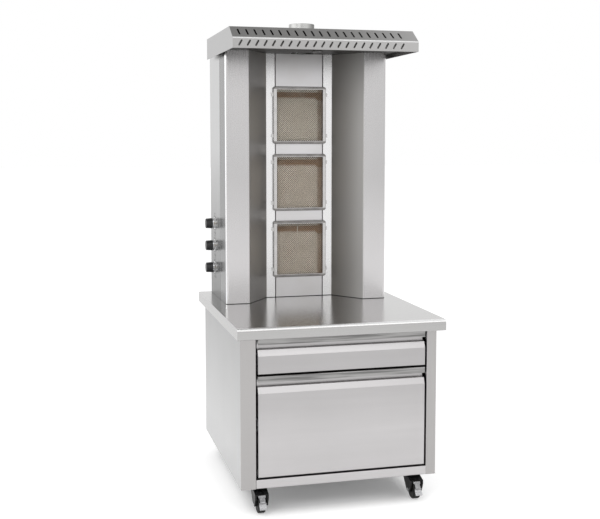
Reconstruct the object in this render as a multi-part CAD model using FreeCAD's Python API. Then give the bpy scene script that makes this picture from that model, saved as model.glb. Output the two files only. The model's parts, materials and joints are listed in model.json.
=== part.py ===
import FreeCAD, Part
import math
import os

from FreeCAD import Vector

# Doner kebab grill on a castor cabinet with two drawers, in millimetres.
# Origin on the floor under the middle of the outline, +X to the right, +Y to the back, +Z up.
# A depth is always counted back from the front edge of the worktop.

# Driving dimensions: sheet metal
sheet = 1.5
bend_radius = 3.0
joint_clearance = 0.3
running_clearance = 0.05

# Driving dimensions: worktop and cabinet
worktop_width = 750.0
worktop_depth = 855.0
worktop_thickness = 39.5
worktop_flange = 62.0
worktop_nose_radius = 12.0
worktop_rib_spacing = 360.0
cabinet_width = 715.0
cabinet_height = 531.5
cabinet_setback = 44.0
cabinet_depth = 756.0
left_stile_width = 55.0
right_stile_width = 37.0
bottom_rail_height = 32.0
frame_return = 18.0
cabinet_rear_return = 20.0
top_rail_height = 26.0
top_rail_width = 30.0
top_rail_front_depth = 80.0
top_rail_rear_depth = 740.0
floor_upstand = 20.0

# Driving dimensions: drawers
drawer_side_gap = 7.5
drawer_gap = 6.5
upper_front_height = 124.0
grip_band = 21.5
grip_opening = 16.7
grip_facet_rise = 22.8
grip_facet_depth = 10.0
grip_depth = 25.5
front_foot_lip = 22.0
tray_depth = 600.0
tray_sheet = 1.2
tray_floor_lift = 7.0
upper_tray_height = 90.0
lower_tray_height = 326.0
drawer_travel = 560.0

# Driving dimensions: telescopic runners
rail_height = 46.0
rail_reach = 9.0
rail_length = 640.0
member_length = 600.0
rail_front_inset = 29.0
rail_bracket_height = 30.0
rail_bracket_width = 16.0
upper_rail_above_tray_floor = 18.0
lower_rail_above_tray_floor = 150.0

# Driving dimensions: tower and its mirrors
tower_half_width = 322.0
tower_height = 969.0
wing_depth = 504.0
wing_inner_x = 230.0
panel_depth = 631.0
panel_half_width = 135.0
seam_x = 98.5
seam_flange = 18.0
wing_corner_radius = 12.0
wing_inner_radius = 9.0
tower_back_depth = 848.0
tower_return = 20.0
infill_seam_gap = 2.0
infill_return = 12.0

# Driving dimensions: hood, deck and flue
hood_half_width = 345.0
hood_front_depth = 218.5
hood_back_depth = 777.0
hood_skirt = 17.5
hood_front_height = 37.0
hood_slope_rise = 44.0
hood_slope_run = 65.0
hood_edge_radius = 2.0
deck_upstand = 12.0
slot_count = 21
slot_first_x = -317.0
slot_pitch = 30.0
slot_width = 6.5
lower_slot_length = 24.0
lower_slot_lean = 30.0
upper_slot_length = 40.0
upper_slot_lean = 4.0
flue_radius = 50.0
flue_depth = 594.0
flue_height = 48.0
flue_rim_radius = 1.8
flue_neck_inset = 1.0
flue_flange = 10.0

# Driving dimensions: burners
burner_pitch = 266.75
lowest_burner_height = 194.5
guard_half_width = 107.5
guard_half_height = 113.0
guard_side_bar = 13.0
guard_cross_bar = 11.5
guard_thickness = 7.0
guard_standoff = 7.0
guard_corner_radius = 10.0
guard_edge_radius = 2.5
lug_height = 14.0
lug_width = 5.0
lug_offset = 81.0
casing_half_width = 96.0
casing_half_height = 108.0
casing_front_gap = 3.0
casing_length = 66.0
casing_wall = 1.5
recess_depth = 16.0
tile_area_width = 165.0
tile_area_height = 176.0
tile_drop = 10.0
tile_thickness = 13.0
tile_joint = 0.6
tile_ledge = 5.0
ear_length = 16.0
ear_height = 20.0
ear_thickness = 3.0
ear_offset = 70.0
mixer_radius = 14.0
mixer_wall = 2.0
mixer_length = 94.0
mixer_mouth_radius = 18.0
mixer_mouth_length = 8.0
injector_radius = 5.0
injector_length = 18.0
injector_head_radius = 7.0
injector_head_length = 4.0
strap_length = 12.0
strap_width = 8.0
strap_thickness = 4.0
gauze_thickness = 1.2
gauze_cell = 16.4
gauze_wire = 2.4

# Driving dimensions: gas taps, knobs and pipes
tap_depth = 753.0
top_tap_height = 293.5
tap_pitch = 89.7
tap_radius = 13.0
tap_length = 45.5
tap_hole_radius = 7.0
stem_radius = 6.0
stem_inside = 28.0
shank_radius = 4.0
shank_length = 20.0
shank_flat = 3.0
tap_outlet_x = -300.0
tap_outlet_radius = 6.0
tap_outlet_length = 18.0
tap_port_x = -285.0
tap_port_radius = 4.0
tap_port_length = 16.0
bezel_radius = 24.0
bezel_thickness = 1.5
knob_travel = 3.0
knob_rest_gap = 1.0
knob_skirt_radius = 22.0
knob_skirt_length = 6.0
knob_base_radius = 21.3
knob_end_radius = 19.3
knob_length = 26.5
knob_edge_radius = 2.5
manifold_x = -262.0
manifold_radius = 10.0
manifold_bore = 7.0
manifold_overrun = 26.0
inlet_height = 60.0
inlet_radius = 10.48
inlet_bore = 7.0
inlet_reach = 30.0
inlet_shoulder_gap = 1.0
inlet_hole_clearance = 1.0
pipe_radius = 4.0
pipe_bore = 3.0
pipe_bend = 9.0
pipe_run_spacing = 18.5
lead_radius = 1.5
lead_bend = 6.0
lead_run_depth = 715.0
lead_drop_depth = 780.0
lead_spacing = 8.0
lead_drop_x = -235.0
probe_x = -8.0
probe_rise = 93.0
probe_hook_length = 48.0
probe_hook_gap = 3.0
probe_hole_radius = 2.6

# Driving dimensions: spit drive and cable gland
spit_depth = 360.0
gearbox_width = 90.0
gearbox_depth = 110.0
gearbox_height = 47.0
gearbox_boss_radius = 22.0
gearbox_boss_drop = 4.0
motor_radius = 28.0
motor_length = 130.0
motor_end_length = 12.0
motor_end_radius = 24.0
socket_shaft_radius = 14.0
socket_shaft_length = 36.0
socket_head_radius = 18.0
socket_head_length = 9.0
socket_bore_radius = 8.05
socket_bore_length = 28.0
socket_slot_width = 5.0
socket_slot_depth = 6.0
gland_x = 200.0
gland_height = 120.0
gland_radius = 8.0
gland_flange_radius = 12.0
gland_reach = 18.0
gland_bore = 4.0
gland_nut_length = 5.0

# Driving dimensions: back cover louvres and screws
louvre_length = 150.0
louvre_width = 6.0
louvre_pitch = 18.0
louvre_rows = 9
louvre_column_x = 150.0
louvre_base_height = 560.0
screw_head_radius = 4.5
screw_head_height = 2.4
screw_radius = 2.0
screw_length = 5.0
screw_edge = 11.0
screw_rows = 5

# Driving dimensions: castors
castor_height = 90.0
castor_x = 284.5
front_castor_depth = 92.0
rear_castor_depth = 752.0
castor_trail = 30.0
wheel_radius = 33.0
wheel_width = 27.0
wheel_edge_radius = 5.0
hub_radius = 9.5
hub_width = 36.0
axle_radius = 4.0
axle_head_radius = 6.5
axle_head_length = 2.5
castor_plate_width = 84.0
castor_plate_depth = 60.0
castor_plate_thickness = 3.0
castor_bolt_spacing_x = 66.0
castor_bolt_spacing_y = 40.0
castor_bolt_radius = 4.0
castor_bolt_clearance = 0.25
bolt_head_radius = 6.5
bolt_head_height = 4.5
bolt_nut_height = 6.0
swivel_cup_radius = 20.0
swivel_cup_height = 4.0
kingpin_radius = 6.0
crown_thickness = 11.0
crown_rear = 22.0
crown_slope_rear = -16.0
crown_front = -55.0
crown_front_drop = 11.0
leg_thickness = 5.5
leg_gap = 0.8
leg_round = 11.0
leg_brow = 14.0
pedal_pin_radius = 2.5
pedal_pin_back = 20.1
pedal_pin_rise = 32.0
pedal_sleeve_radius = 4.0
pedal_half_width = 12.5
pedal_thickness = 2.5
pedal_crease_back = 36.6
pedal_crease_rise = 14.6
pedal_crease_radius = 1.0
pedal_tuck_back = 35.6
pedal_tuck_rise = 8.2
pedal_toe_back = 48.0
pedal_toe_drop = 8.5
pedal_waist_notch = 3.0

# Heights and depths that follow from the driving dimensions
total_depth = tower_back_depth + inlet_reach
front_y = -total_depth / 2
cabinet_bottom = castor_height
cabinet_top = cabinet_bottom + cabinet_height
worktop_top = cabinet_top + worktop_thickness
tower_top = worktop_top + tower_height
hood_bottom = tower_top - hood_skirt
hood_crease = hood_bottom + hood_front_height
hood_top = hood_crease + hood_slope_rise
flue_top = hood_top + flue_height
opening_left = -cabinet_width / 2 + left_stile_width
opening_right = cabinet_width / 2 - right_stile_width
lower_front_height = cabinet_height - bottom_rail_height - upper_front_height - 3 * drawer_gap
lower_front_bottom = cabinet_bottom + bottom_rail_height + drawer_gap
upper_front_bottom = lower_front_bottom + lower_front_height + drawer_gap
burner_heights = [lowest_burner_height + burner_pitch * level for level in (2, 1, 0)]
tap_heights = [top_tap_height - tap_pitch * level for level in range(3)]
levels = ["top", "middle", "bottom"]
burner_face_depth = panel_depth + casing_front_gap
tile_face_depth = burner_face_depth + recess_depth
casing_back_depth = burner_face_depth + casing_length
mixer_depth = tile_face_depth + tile_thickness + (casing_back_depth - casing_wall
                                                 - tile_face_depth - tile_thickness) / 2


def y_at(depth):
    """Frame Y of a depth behind the worktop's front edge."""
    return front_y + depth


def box(x0, x1, y0, y1, z0, z1):
    """Plain block between two corners."""
    return Part.makeBox(x1 - x0, y1 - y0, z1 - z0, Vector(x0, y0, z0))


def rod(radius, start, end):
    """Round bar from one point to another."""
    base = Vector(*start)
    path = Vector(*end) - base
    return Part.makeCylinder(radius, path.Length, base, path)


def tube(outer, inner, start, end):
    """Round tube, open at both ends."""
    return rod(outer, start, end).cut(rod(inner, start, end))


def rounded_edges(points, radii):
    """Lines through the points, with a tangent arc at each inner point that has a radius."""
    edges = []
    here = points[0]
    for index in range(1, len(points) - 1):
        corner = points[index]
        radius = radii[index - 1]
        back = (points[index - 1] - corner).normalize()
        ahead = (points[index + 1] - corner).normalize()
        if radius <= 0:
            edges.append(Part.LineSegment(here, corner).toShape())
            here = corner
            continue
        half_turn = back.getAngle(ahead) / 2
        reach = radius / math.tan(half_turn)
        start = corner + back * reach
        end = corner + ahead * reach
        middle_way = (back + ahead).normalize()
        centre = corner + middle_way * (radius / math.sin(half_turn))
        if here.distanceToPoint(start) > 1e-6:
            edges.append(Part.LineSegment(here, start).toShape())
        edges.append(Part.Arc(start, centre - middle_way * radius, end).toShape())
        here = end
    if here.distanceToPoint(points[-1]) > 1e-6:
        edges.append(Part.LineSegment(here, points[-1]).toShape())
    return edges


def in_plane(plane, place, pair):
    """Point of a section: plane yz lies across X, xy across Z."""
    if plane == "yz":
        return Vector(place, pair[0], pair[1])
    return Vector(pair[0], pair[1], place)


def extrusion(plane, length):
    if plane == "yz":
        return Vector(length, 0, 0)
    return Vector(0, 0, length)


def offset_right(points, distance):
    """Same outline moved to the right of its direction of travel, with mitred corners."""
    moved = []
    count = len(points)
    normals = []
    for index in range(count - 1):
        dx = points[index + 1][0] - points[index][0]
        dy = points[index + 1][1] - points[index][1]
        size = math.hypot(dx, dy)
        normals.append((dy / size, -dx / size))
    for index in range(count):
        before = normals[max(index - 1, 0)]
        after = normals[min(index, count - 2)]
        sum_x = before[0] + after[0]
        sum_y = before[1] + after[1]
        scale = 2 * distance / (sum_x * sum_x + sum_y * sum_y)
        moved.append((points[index][0] + sum_x * scale, points[index][1] + sum_y * scale))
    return moved


def bent_sheet(plane, place, length, points, thickness=sheet, radii=None):
    """Sheet folded along the points, with its thickness to the right of their direction.

    radii are the bend radii of the face that follows the points.
    """
    bends = len(points) - 2
    if radii is None:
        radii = [None] * bends
    near = []
    far = []
    for index in range(bends):
        ax, ay = points[index]
        bx, by = points[index + 1]
        cx, cy = points[index + 2]
        turn = (bx - ax) * (cy - by) - (by - ay) * (cx - bx)
        if turn < 0:
            near_radius = radii[index] or bend_radius
            near.append(near_radius)
            far.append(max(near_radius - thickness, 0.0))
        else:
            near_radius = radii[index] or max(bend_radius - thickness, 0.5)
            near.append(near_radius)
            far.append(near_radius + thickness)
    other = offset_right(points, thickness)
    first_face = [in_plane(plane, place, pair) for pair in points]
    second_face = [in_plane(plane, place, pair) for pair in reversed(other)]
    edges = rounded_edges(first_face, near)
    edges.append(Part.LineSegment(first_face[-1], second_face[0]).toShape())
    edges += rounded_edges(second_face, list(reversed(far)))
    edges.append(Part.LineSegment(second_face[-1], first_face[0]).toShape())
    return Part.Face(Part.Wire(edges)).extrude(extrusion(plane, length))


def rounded_prism(plane, place, length, points, radii):
    """Solid block with a closed outline, each corner with its own radius."""
    ring = [in_plane(plane, place, pair) for pair in points]
    start = (ring[0] + ring[-1]) * 0.5
    path = [start] + ring + [start]
    return Part.Face(Part.Wire(rounded_edges(path, radii))).extrude(extrusion(plane, length))


def bent_pipe(points, bend, radius, bore=0.0):
    """Pipe of straight runs joined by tangent arcs."""
    path = Part.Wire(rounded_edges([Vector(*p) for p in points], [bend] * (len(points) - 2)))
    start = Vector(*points[0])
    direction = Vector(*points[1]) - start
    solids = []
    for size in (radius, bore):
        if size > 0:
            ring = Part.Wire([Part.Circle(start, direction, size).toShape()])
            solids.append(path.makePipeShell([ring], True, False))
    if bore > 0:
        return solids[0].cut(solids[1])
    return solids[0]


def mirrored(shape):
    """Same piece for the other side of the grill."""
    return shape.mirror(Vector(0, 0, 0), Vector(1, 0, 0))


nodes = {}


def keep(name, *pieces):
    """Store the solids of one node under its name."""
    nodes[name] = list(pieces)


# Worktop: folded top with a rounded nose, return flanges and two welded ribs

def worktop():
    z0, z1 = cabinet_top, worktop_top
    y0, y1 = y_at(0), y_at(worktop_depth)
    half = worktop_width / 2
    corners = [(y0, z0), (y0, z1), (y1, z1), (y1, z0)]
    outer = rounded_prism("yz", -half, worktop_width, corners,
                          [bend_radius, worktop_nose_radius, bend_radius, bend_radius])
    corners = [(y0 + sheet, z0 + sheet), (y0 + sheet, z1 - sheet), (y1 - sheet, z1 - sheet),
               (y1 - sheet, z0 + sheet)]
    inner_bend = bend_radius - sheet
    cavity = rounded_prism("yz", -half + sheet, worktop_width - 2 * sheet, corners,
                           [inner_bend, worktop_nose_radius - sheet, inner_bend, inner_bend])
    mouth = box(-half + worktop_flange, half - worktop_flange, y0 + worktop_flange,
                y1 - worktop_flange, z0 - sheet, z0 + 2 * sheet)
    shell = outer.cut(cavity).cut(mouth)
    rib_inset = worktop_flange / 2
    for side in (-1, 1):
        x = side * worktop_rib_spacing / 2
        shell = shell.fuse(box(x - sheet / 2, x + sheet / 2, y0 + rib_inset, y1 - rib_inset,
                               z0 + sheet, z1 - sheet))
    return shell


# Cabinet: two folded sides whose front returns are the stiles, rail, floor, back, cross rails

def cabinet_side(stile):
    """Left side panel, seen from above as a channel with the stile as its front return."""
    x0 = -cabinet_width / 2
    y0 = y_at(cabinet_setback)
    y1 = y0 + cabinet_depth
    points = [(x0 + stile, y0 + frame_return), (x0 + stile, y0), (x0, y0), (x0, y1),
              (x0 + cabinet_rear_return, y1)]
    return bent_sheet("xy", cabinet_bottom, cabinet_height, points)


def cabinet_bottom_rail():
    y0 = y_at(cabinet_setback)
    z0, z1 = cabinet_bottom, cabinet_bottom + bottom_rail_height
    points = [(y0 + frame_return, z0), (y0, z0), (y0, z1), (y0 + frame_return, z1)]
    return bent_sheet("yz", opening_left, opening_right - opening_left, points)


def castor_places():
    """Swivel axes of the four castors."""
    return [(side * castor_x, y_at(depth)) for depth in (front_castor_depth, rear_castor_depth)
            for side in (-1, 1)]


def castor_bolt_points():
    """Bolts of all the castor plates."""
    return [(x + dx * castor_bolt_spacing_x / 2, y + dy * castor_bolt_spacing_y / 2)
            for x, y in castor_places() for dx in (-1, 1) for dy in (-1, 1)]


def cabinet_floor():
    half = cabinet_width / 2 - sheet
    y0 = y_at(cabinet_setback + frame_return)
    y1 = y_at(cabinet_setback + cabinet_depth) - 2 * sheet
    z0 = cabinet_bottom
    floor = box(-half, half, y0, y1, z0, z0 + sheet)
    for side in (-1, 1):
        edge = side * half
        inner = side * (half - sheet)
        floor = floor.fuse(box(min(edge, inner), max(edge, inner), y0, y1, z0, z0 + floor_upstand))
    for x, y in castor_bolt_points():
        floor = floor.cut(rod(castor_bolt_radius + castor_bolt_clearance, (x, y, z0 - sheet),
                              (x, y, z0 + 2 * sheet)))
    return floor


def cabinet_back():
    """Flat panel inside the side panels' rear returns, clear of their bends."""
    half = cabinet_width / 2 - bend_radius - joint_clearance
    y1 = y_at(cabinet_setback + cabinet_depth) - sheet
    return box(-half, half, y1 - sheet, y1, cabinet_bottom, cabinet_top)


def top_rail(depth):
    """Angle that ties the side panels together under the worktop."""
    half = cabinet_width / 2 - sheet
    y0 = y_at(depth)
    points = [(y0, cabinet_top - top_rail_height), (y0, cabinet_top), (y0 + top_rail_width, cabinet_top)]
    return bent_sheet("yz", -half, 2 * half, points)


keep("worktop", worktop())
keep("cabinet_left_side", cabinet_side(left_stile_width))
keep("cabinet_right_side", mirrored(cabinet_side(right_stile_width)))
keep("cabinet_bottom_rail", cabinet_bottom_rail())
keep("cabinet_floor", cabinet_floor())
keep("cabinet_back", cabinet_back())
keep("cabinet_top_rails", top_rail(top_rail_front_depth), top_rail(top_rail_rear_depth))


# Telescopic runners: three nested channels on each side of each drawer

runner_thickness = 2 * (sheet + joint_clearance) + (rail_reach - 2 * (sheet + joint_clearance)
                                                    + joint_clearance + sheet)
tray_left = opening_left + runner_thickness
tray_right = opening_right - runner_thickness


def channel(side, mount_x, near, far, web_at_near, height, y0, length, z_mid):
    """Channel with its web near to or far from the mounting plane, flanges top and bottom."""
    sign = 1 if side == "left" else -1
    low, high = z_mid - height / 2, z_mid + height / 2
    x_near = mount_x + sign * near
    x_far = mount_x + sign * far
    web_start = x_near if web_at_near else x_far
    web_end = web_start + (sign * sheet if web_at_near else -sign * sheet)
    web = box(min(web_start, web_end), max(web_start, web_end), y0, y0 + length, low, high)
    x_low, x_high = min(x_near, x_far), max(x_near, x_far)
    upper = box(x_low, x_high, y0, y0 + length, high - sheet, high)
    lower = box(x_low, x_high, y0, y0 + length, low, low + sheet)
    return web.fuse(upper).fuse(lower)


def runner_set(side, z_mid):
    """Outer rail with its spacer brackets, middle member and inner member of one runner."""
    mount_x = opening_left if side == "left" else opening_right
    sign = 1 if side == "left" else -1
    y0 = y_at(cabinet_setback + rail_front_inset)
    middle_height = rail_height - 2 * sheet - 2 * joint_clearance
    inner_height = middle_height - 2 * sheet - 2 * joint_clearance
    step = sheet + joint_clearance
    outer = channel(side, mount_x, 0, rail_reach, True, rail_height, y0, rail_length, z_mid)
    wall_x = -sign * (cabinet_width / 2 - sheet)
    for y in (y0, y0 + rail_length - rail_bracket_width):
        outer = outer.fuse(box(min(wall_x, mount_x), max(wall_x, mount_x), y, y + rail_bracket_width,
                               z_mid - rail_bracket_height / 2, z_mid + rail_bracket_height / 2))
    middle = channel(side, mount_x, step, rail_reach, True, middle_height, y0, member_length, z_mid)
    inner = channel(side, mount_x, 2 * step, runner_thickness, False, inner_height, y0,
                    member_length, z_mid)
    return outer, middle, inner


# Drawers: folded front with a recessed grip, tray behind it

def drawer_front(bottom, height):
    """Front panel: foot lip, face, sloping facet, ledge, recess wall, top and hooked band."""
    y0 = y_at(cabinet_setback)
    back = y0 + grip_depth
    top = bottom + height
    points = [(back + sheet, bottom + front_foot_lip), (back + sheet, bottom), (y0, bottom),
              (y0, top - grip_band - grip_opening - grip_facet_rise),
              (y0 + grip_facet_depth, top - grip_band - grip_opening),
              (back, top - grip_band - grip_opening), (back, top - sheet), (y0 + sheet, top - sheet),
              (y0 + sheet, top - grip_band)]
    width = opening_right - opening_left - 2 * drawer_side_gap
    return bent_sheet("yz", opening_left + drawer_side_gap, width, points)


def drawer_tray(bottom, height):
    y0 = y_at(cabinet_setback) + grip_depth + sheet
    z0 = bottom + tray_floor_lift
    outer = box(tray_left, tray_right, y0, y0 + tray_depth, z0, z0 + height)
    inner = box(tray_left + tray_sheet, tray_right - tray_sheet, y0 + tray_sheet,
                y0 + tray_depth - tray_sheet, z0 + tray_sheet, z0 + height + tray_sheet)
    return outer.cut(inner)


outer_rails = []
for name, bottom, height, tray_height, rail_lift in (
        ("upper", upper_front_bottom, upper_front_height, upper_tray_height,
         upper_rail_above_tray_floor),
        ("lower", lower_front_bottom, lower_front_height, lower_tray_height,
         lower_rail_above_tray_floor)):
    rail_z = bottom + tray_floor_lift + rail_lift + rail_height / 2
    left_outer, left_middle, left_inner = runner_set("left", rail_z)
    right_outer, right_middle, right_inner = runner_set("right", rail_z)
    outer_rails += [left_outer, right_outer]
    keep(name + "_drawer_front", drawer_front(bottom, height))
    keep(name + "_drawer_tray", drawer_tray(bottom, tray_height))
    keep(name + "_inner_members", left_inner, right_inner)
    keep(name + "_middle_members", left_middle, right_middle)
keep("runner_rails", *outer_rails)


# Tower: reflector wings, side plates, back cover and the plain plates between the burners

def wing():
    """Left wing: seam flange, strip beside the burners, mirror, front face, side return."""
    x_side = -tower_half_width
    y_panel = y_at(panel_depth)
    y_front = y_at(wing_depth)
    points = [(-seam_x, y_panel + seam_flange), (-seam_x, y_panel), (-panel_half_width, y_panel),
              (-wing_inner_x, y_front), (x_side, y_front), (x_side, y_panel),
              (x_side + tower_return, y_panel)]
    radii = [None, None, wing_inner_radius, wing_corner_radius, None]
    return bent_sheet("xy", worktop_top, tower_height, points, radii=radii)


def tower_side():
    """Left side plate behind the wing, with a return at each end."""
    x_side = -tower_half_width
    y0 = y_at(panel_depth)
    y1 = y_at(tower_back_depth) - sheet
    points = [(x_side + tower_return, y0), (x_side, y0), (x_side, y1), (x_side + tower_return, y1)]
    return bent_sheet("xy", worktop_top, tower_height, points)


def tap_line(height):
    """Point on a tap's axis at the outer face of the left side plate."""
    return -tower_half_width, y_at(tap_depth), worktop_top + height


def screw_points():
    """Centres of the screws that hold the tower's back cover and the cabinet's back."""
    points = []
    step = (tower_height - 2 * screw_edge) / (screw_rows - 1)
    for side in (-1, 1):
        for row in range(screw_rows):
            points.append((side * (tower_half_width - screw_edge), y_at(tower_back_depth),
                           worktop_top + screw_edge + row * step))
    return points


def back_cover():
    y1 = y_at(tower_back_depth)
    cover = box(-tower_half_width, tower_half_width, y1 - sheet, y1, worktop_top, tower_top)
    through = 4 * sheet
    for side in (-1, 1):
        for row in range(louvre_rows):
            z = worktop_top + louvre_base_height + row * louvre_pitch
            x = side * louvre_column_x
            slot = box(x - louvre_length / 2, x + louvre_length / 2, y1 - through, y1 + through,
                       z - louvre_width / 2, z + louvre_width / 2)
            for end in (-1, 1):
                tip = x + end * louvre_length / 2
                slot = slot.fuse(rod(louvre_width / 2, (tip, y1 - through, z), (tip, y1 + through, z)))
            cover = cover.cut(slot)
    holes = [(manifold_x, inlet_height, manifold_radius + inlet_hole_clearance),
             (gland_x, gland_height, gland_radius + joint_clearance)]
    for x, height, radius in holes:
        z = worktop_top + height
        cover = cover.cut(rod(radius, (x, y1 - through, z), (x, y1 + through, z)))
    return cover


def infill_plate(low, high):
    """Plain plate with folded sides between two burners."""
    half = seam_x - infill_seam_gap
    y0 = y_at(panel_depth)
    points = [(half, y0 + infill_return), (half, y0), (-half, y0), (-half, y0 + infill_return)]
    return bent_sheet("xy", low, high - low, points)


left_side = tower_side()
right_side = mirrored(left_side)
for height in tap_heights:
    x, y, z = tap_line(height)
    left_side = left_side.cut(rod(tap_hole_radius, (x - sheet, y, z), (x + 2 * sheet, y, z)))
cover = back_cover()
for x, y, z in screw_points():
    drill = rod(screw_radius + running_clearance, (x, y - 4 * sheet, z), (x, y + sheet, z))
    cover = cover.cut(drill)
    left_side = left_side.cut(drill)
    right_side = right_side.cut(drill)
keep("left_wing", wing())
keep("right_wing", mirrored(wing()))
keep("tower_left_side", left_side)
keep("tower_right_side", right_side)
keep("tower_back_cover", cover)

plate_edges = [0.0]
for height in reversed(burner_heights):
    plate_edges += [height - casing_half_height, height + casing_half_height]
plate_edges.append(tower_height)
keep("infill_plates", *[infill_plate(worktop_top + plate_edges[i], worktop_top + plate_edges[i + 1])
                        for i in range(0, len(plate_edges), 2)])


# Hood: folded canopy with two rows of slots, deck below it, flue collar through both

def hood_outline(inset):
    """Side outline of the hood from the bottom of its front to the back, moved in by a wall."""
    y0, y1 = y_at(hood_front_depth), y_at(hood_back_depth)
    slope = math.atan2(hood_slope_rise, hood_slope_run)
    crease_shift = inset * math.tan((math.pi / 2 - slope) / 2)
    top_shift = inset * math.tan(slope / 2)
    return [(y0 + inset, hood_bottom), (y0 + inset, hood_crease - crease_shift),
            (y0 + hood_slope_run + top_shift, hood_top - inset), (y1 - inset, hood_top - inset),
            (y1 - inset, hood_bottom)]


def slot_cutter(length, width):
    """Round-ended slot standing along Z, cut along Y, centred on the origin."""
    reach = 8 * sheet
    half = length / 2 - width / 2
    body = box(-width / 2, width / 2, -reach, reach, -half, half)
    for end in (-half, half):
        body = body.fuse(rod(width / 2, (0, -reach, end), (0, reach, end)))
    return body


def hood_shell():
    radii = [0, hood_edge_radius, hood_edge_radius, hood_edge_radius, 0]
    outer = rounded_prism("yz", -hood_half_width, 2 * hood_half_width, hood_outline(0), radii)
    inner_radii = [0, 0, 0, 0, 0]
    inner = rounded_prism("yz", -hood_half_width + sheet, 2 * (hood_half_width - sheet),
                          hood_outline(sheet), inner_radii)
    shell = outer.cut(inner)
    y_back = y_at(hood_back_depth)
    shell = shell.cut(box(-hood_half_width + sheet, hood_half_width - sheet, y_back - 4 * sheet,
                          y_back + sheet, hood_bottom - sheet, tower_top + sheet))
    cutters = []
    y_front = y_at(hood_front_depth)
    slope = math.degrees(math.atan2(hood_slope_rise, hood_slope_run))
    for index in range(slot_count):
        x = slot_first_x + index * slot_pitch
        lower = slot_cutter(lower_slot_length, slot_width)
        lower.rotate(Vector(0, 0, 0), Vector(0, 1, 0), lower_slot_lean)
        lower.translate(Vector(x, y_front, hood_bottom + hood_front_height / 2))
        upper = slot_cutter(upper_slot_length, slot_width)
        upper.rotate(Vector(0, 0, 0), Vector(0, 1, 0), -upper_slot_lean)
        upper.rotate(Vector(0, 0, 0), Vector(1, 0, 0), slope - 90)
        upper.translate(Vector(x, y_front + hood_slope_run / 2, hood_crease + hood_slope_rise / 2))
        cutters += [lower, upper]
    shell = shell.cut(cutters)
    y = y_at(flue_depth)
    hole_radius = flue_radius - flue_neck_inset + joint_clearance
    return shell.cut(rod(hole_radius, (0, y, hood_top - 4 * sheet), (0, y, hood_top + sheet)))


def hood_deck():
    """Tray under the hood that carries the spit drive and closes the tower."""
    half = hood_half_width - sheet
    y0, y1 = y_at(hood_front_depth) + sheet, y_at(hood_back_depth) - sheet
    z0 = tower_top
    outer = box(-half, half, y0, y1, z0, z0 + sheet + deck_upstand)
    inner = box(-half + sheet, half - sheet, y0 + sheet, y1 - sheet, z0 + sheet,
                z0 + 2 * sheet + deck_upstand)
    ledge = box(-tower_half_width, tower_half_width, y1, y_at(tower_back_depth), z0, z0 + sheet)
    deck = outer.cut(inner).fuse(ledge)
    flue_y = y_at(flue_depth)
    hole_radius = flue_radius - flue_neck_inset + joint_clearance
    deck = deck.cut(rod(hole_radius, (0, flue_y, z0 - sheet), (0, flue_y, z0 + 3 * sheet)))
    spit_y = y_at(spit_depth)
    return deck.cut(rod(gearbox_boss_radius + joint_clearance, (0, spit_y, z0 - sheet),
                        (0, spit_y, z0 + 3 * sheet)))


def flue_collar():
    """Neck from the deck through the hood, and a wider outlet whose shoulder stands on the hood."""
    y = y_at(flue_depth)
    neck_radius = flue_radius - flue_neck_inset
    shoulder = hood_top + joint_clearance
    neck = tube(neck_radius, neck_radius - sheet, (0, y, tower_top), (0, y, shoulder + sheet))
    outlet = tube(flue_radius, flue_radius - sheet, (0, y, shoulder), (0, y, flue_top - flue_rim_radius))
    rim = Part.makeTorus(flue_radius - flue_rim_radius, flue_rim_radius,
                         Vector(0, y, flue_top - flue_rim_radius))
    flange_top = hood_top - sheet
    flange = tube(flue_radius + flue_flange, neck_radius - sheet / 2, (0, y, flange_top - sheet),
                  (0, y, flange_top))
    return neck.fuse(outlet).fuse(rim).fuse(flange)


keep("hood_shell", hood_shell())
keep("hood_deck", hood_deck())
keep("flue_collar", flue_collar())


# Burners: cast casing with its mixing tube, ceramic plaques, wire gauze and guard frame

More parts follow.
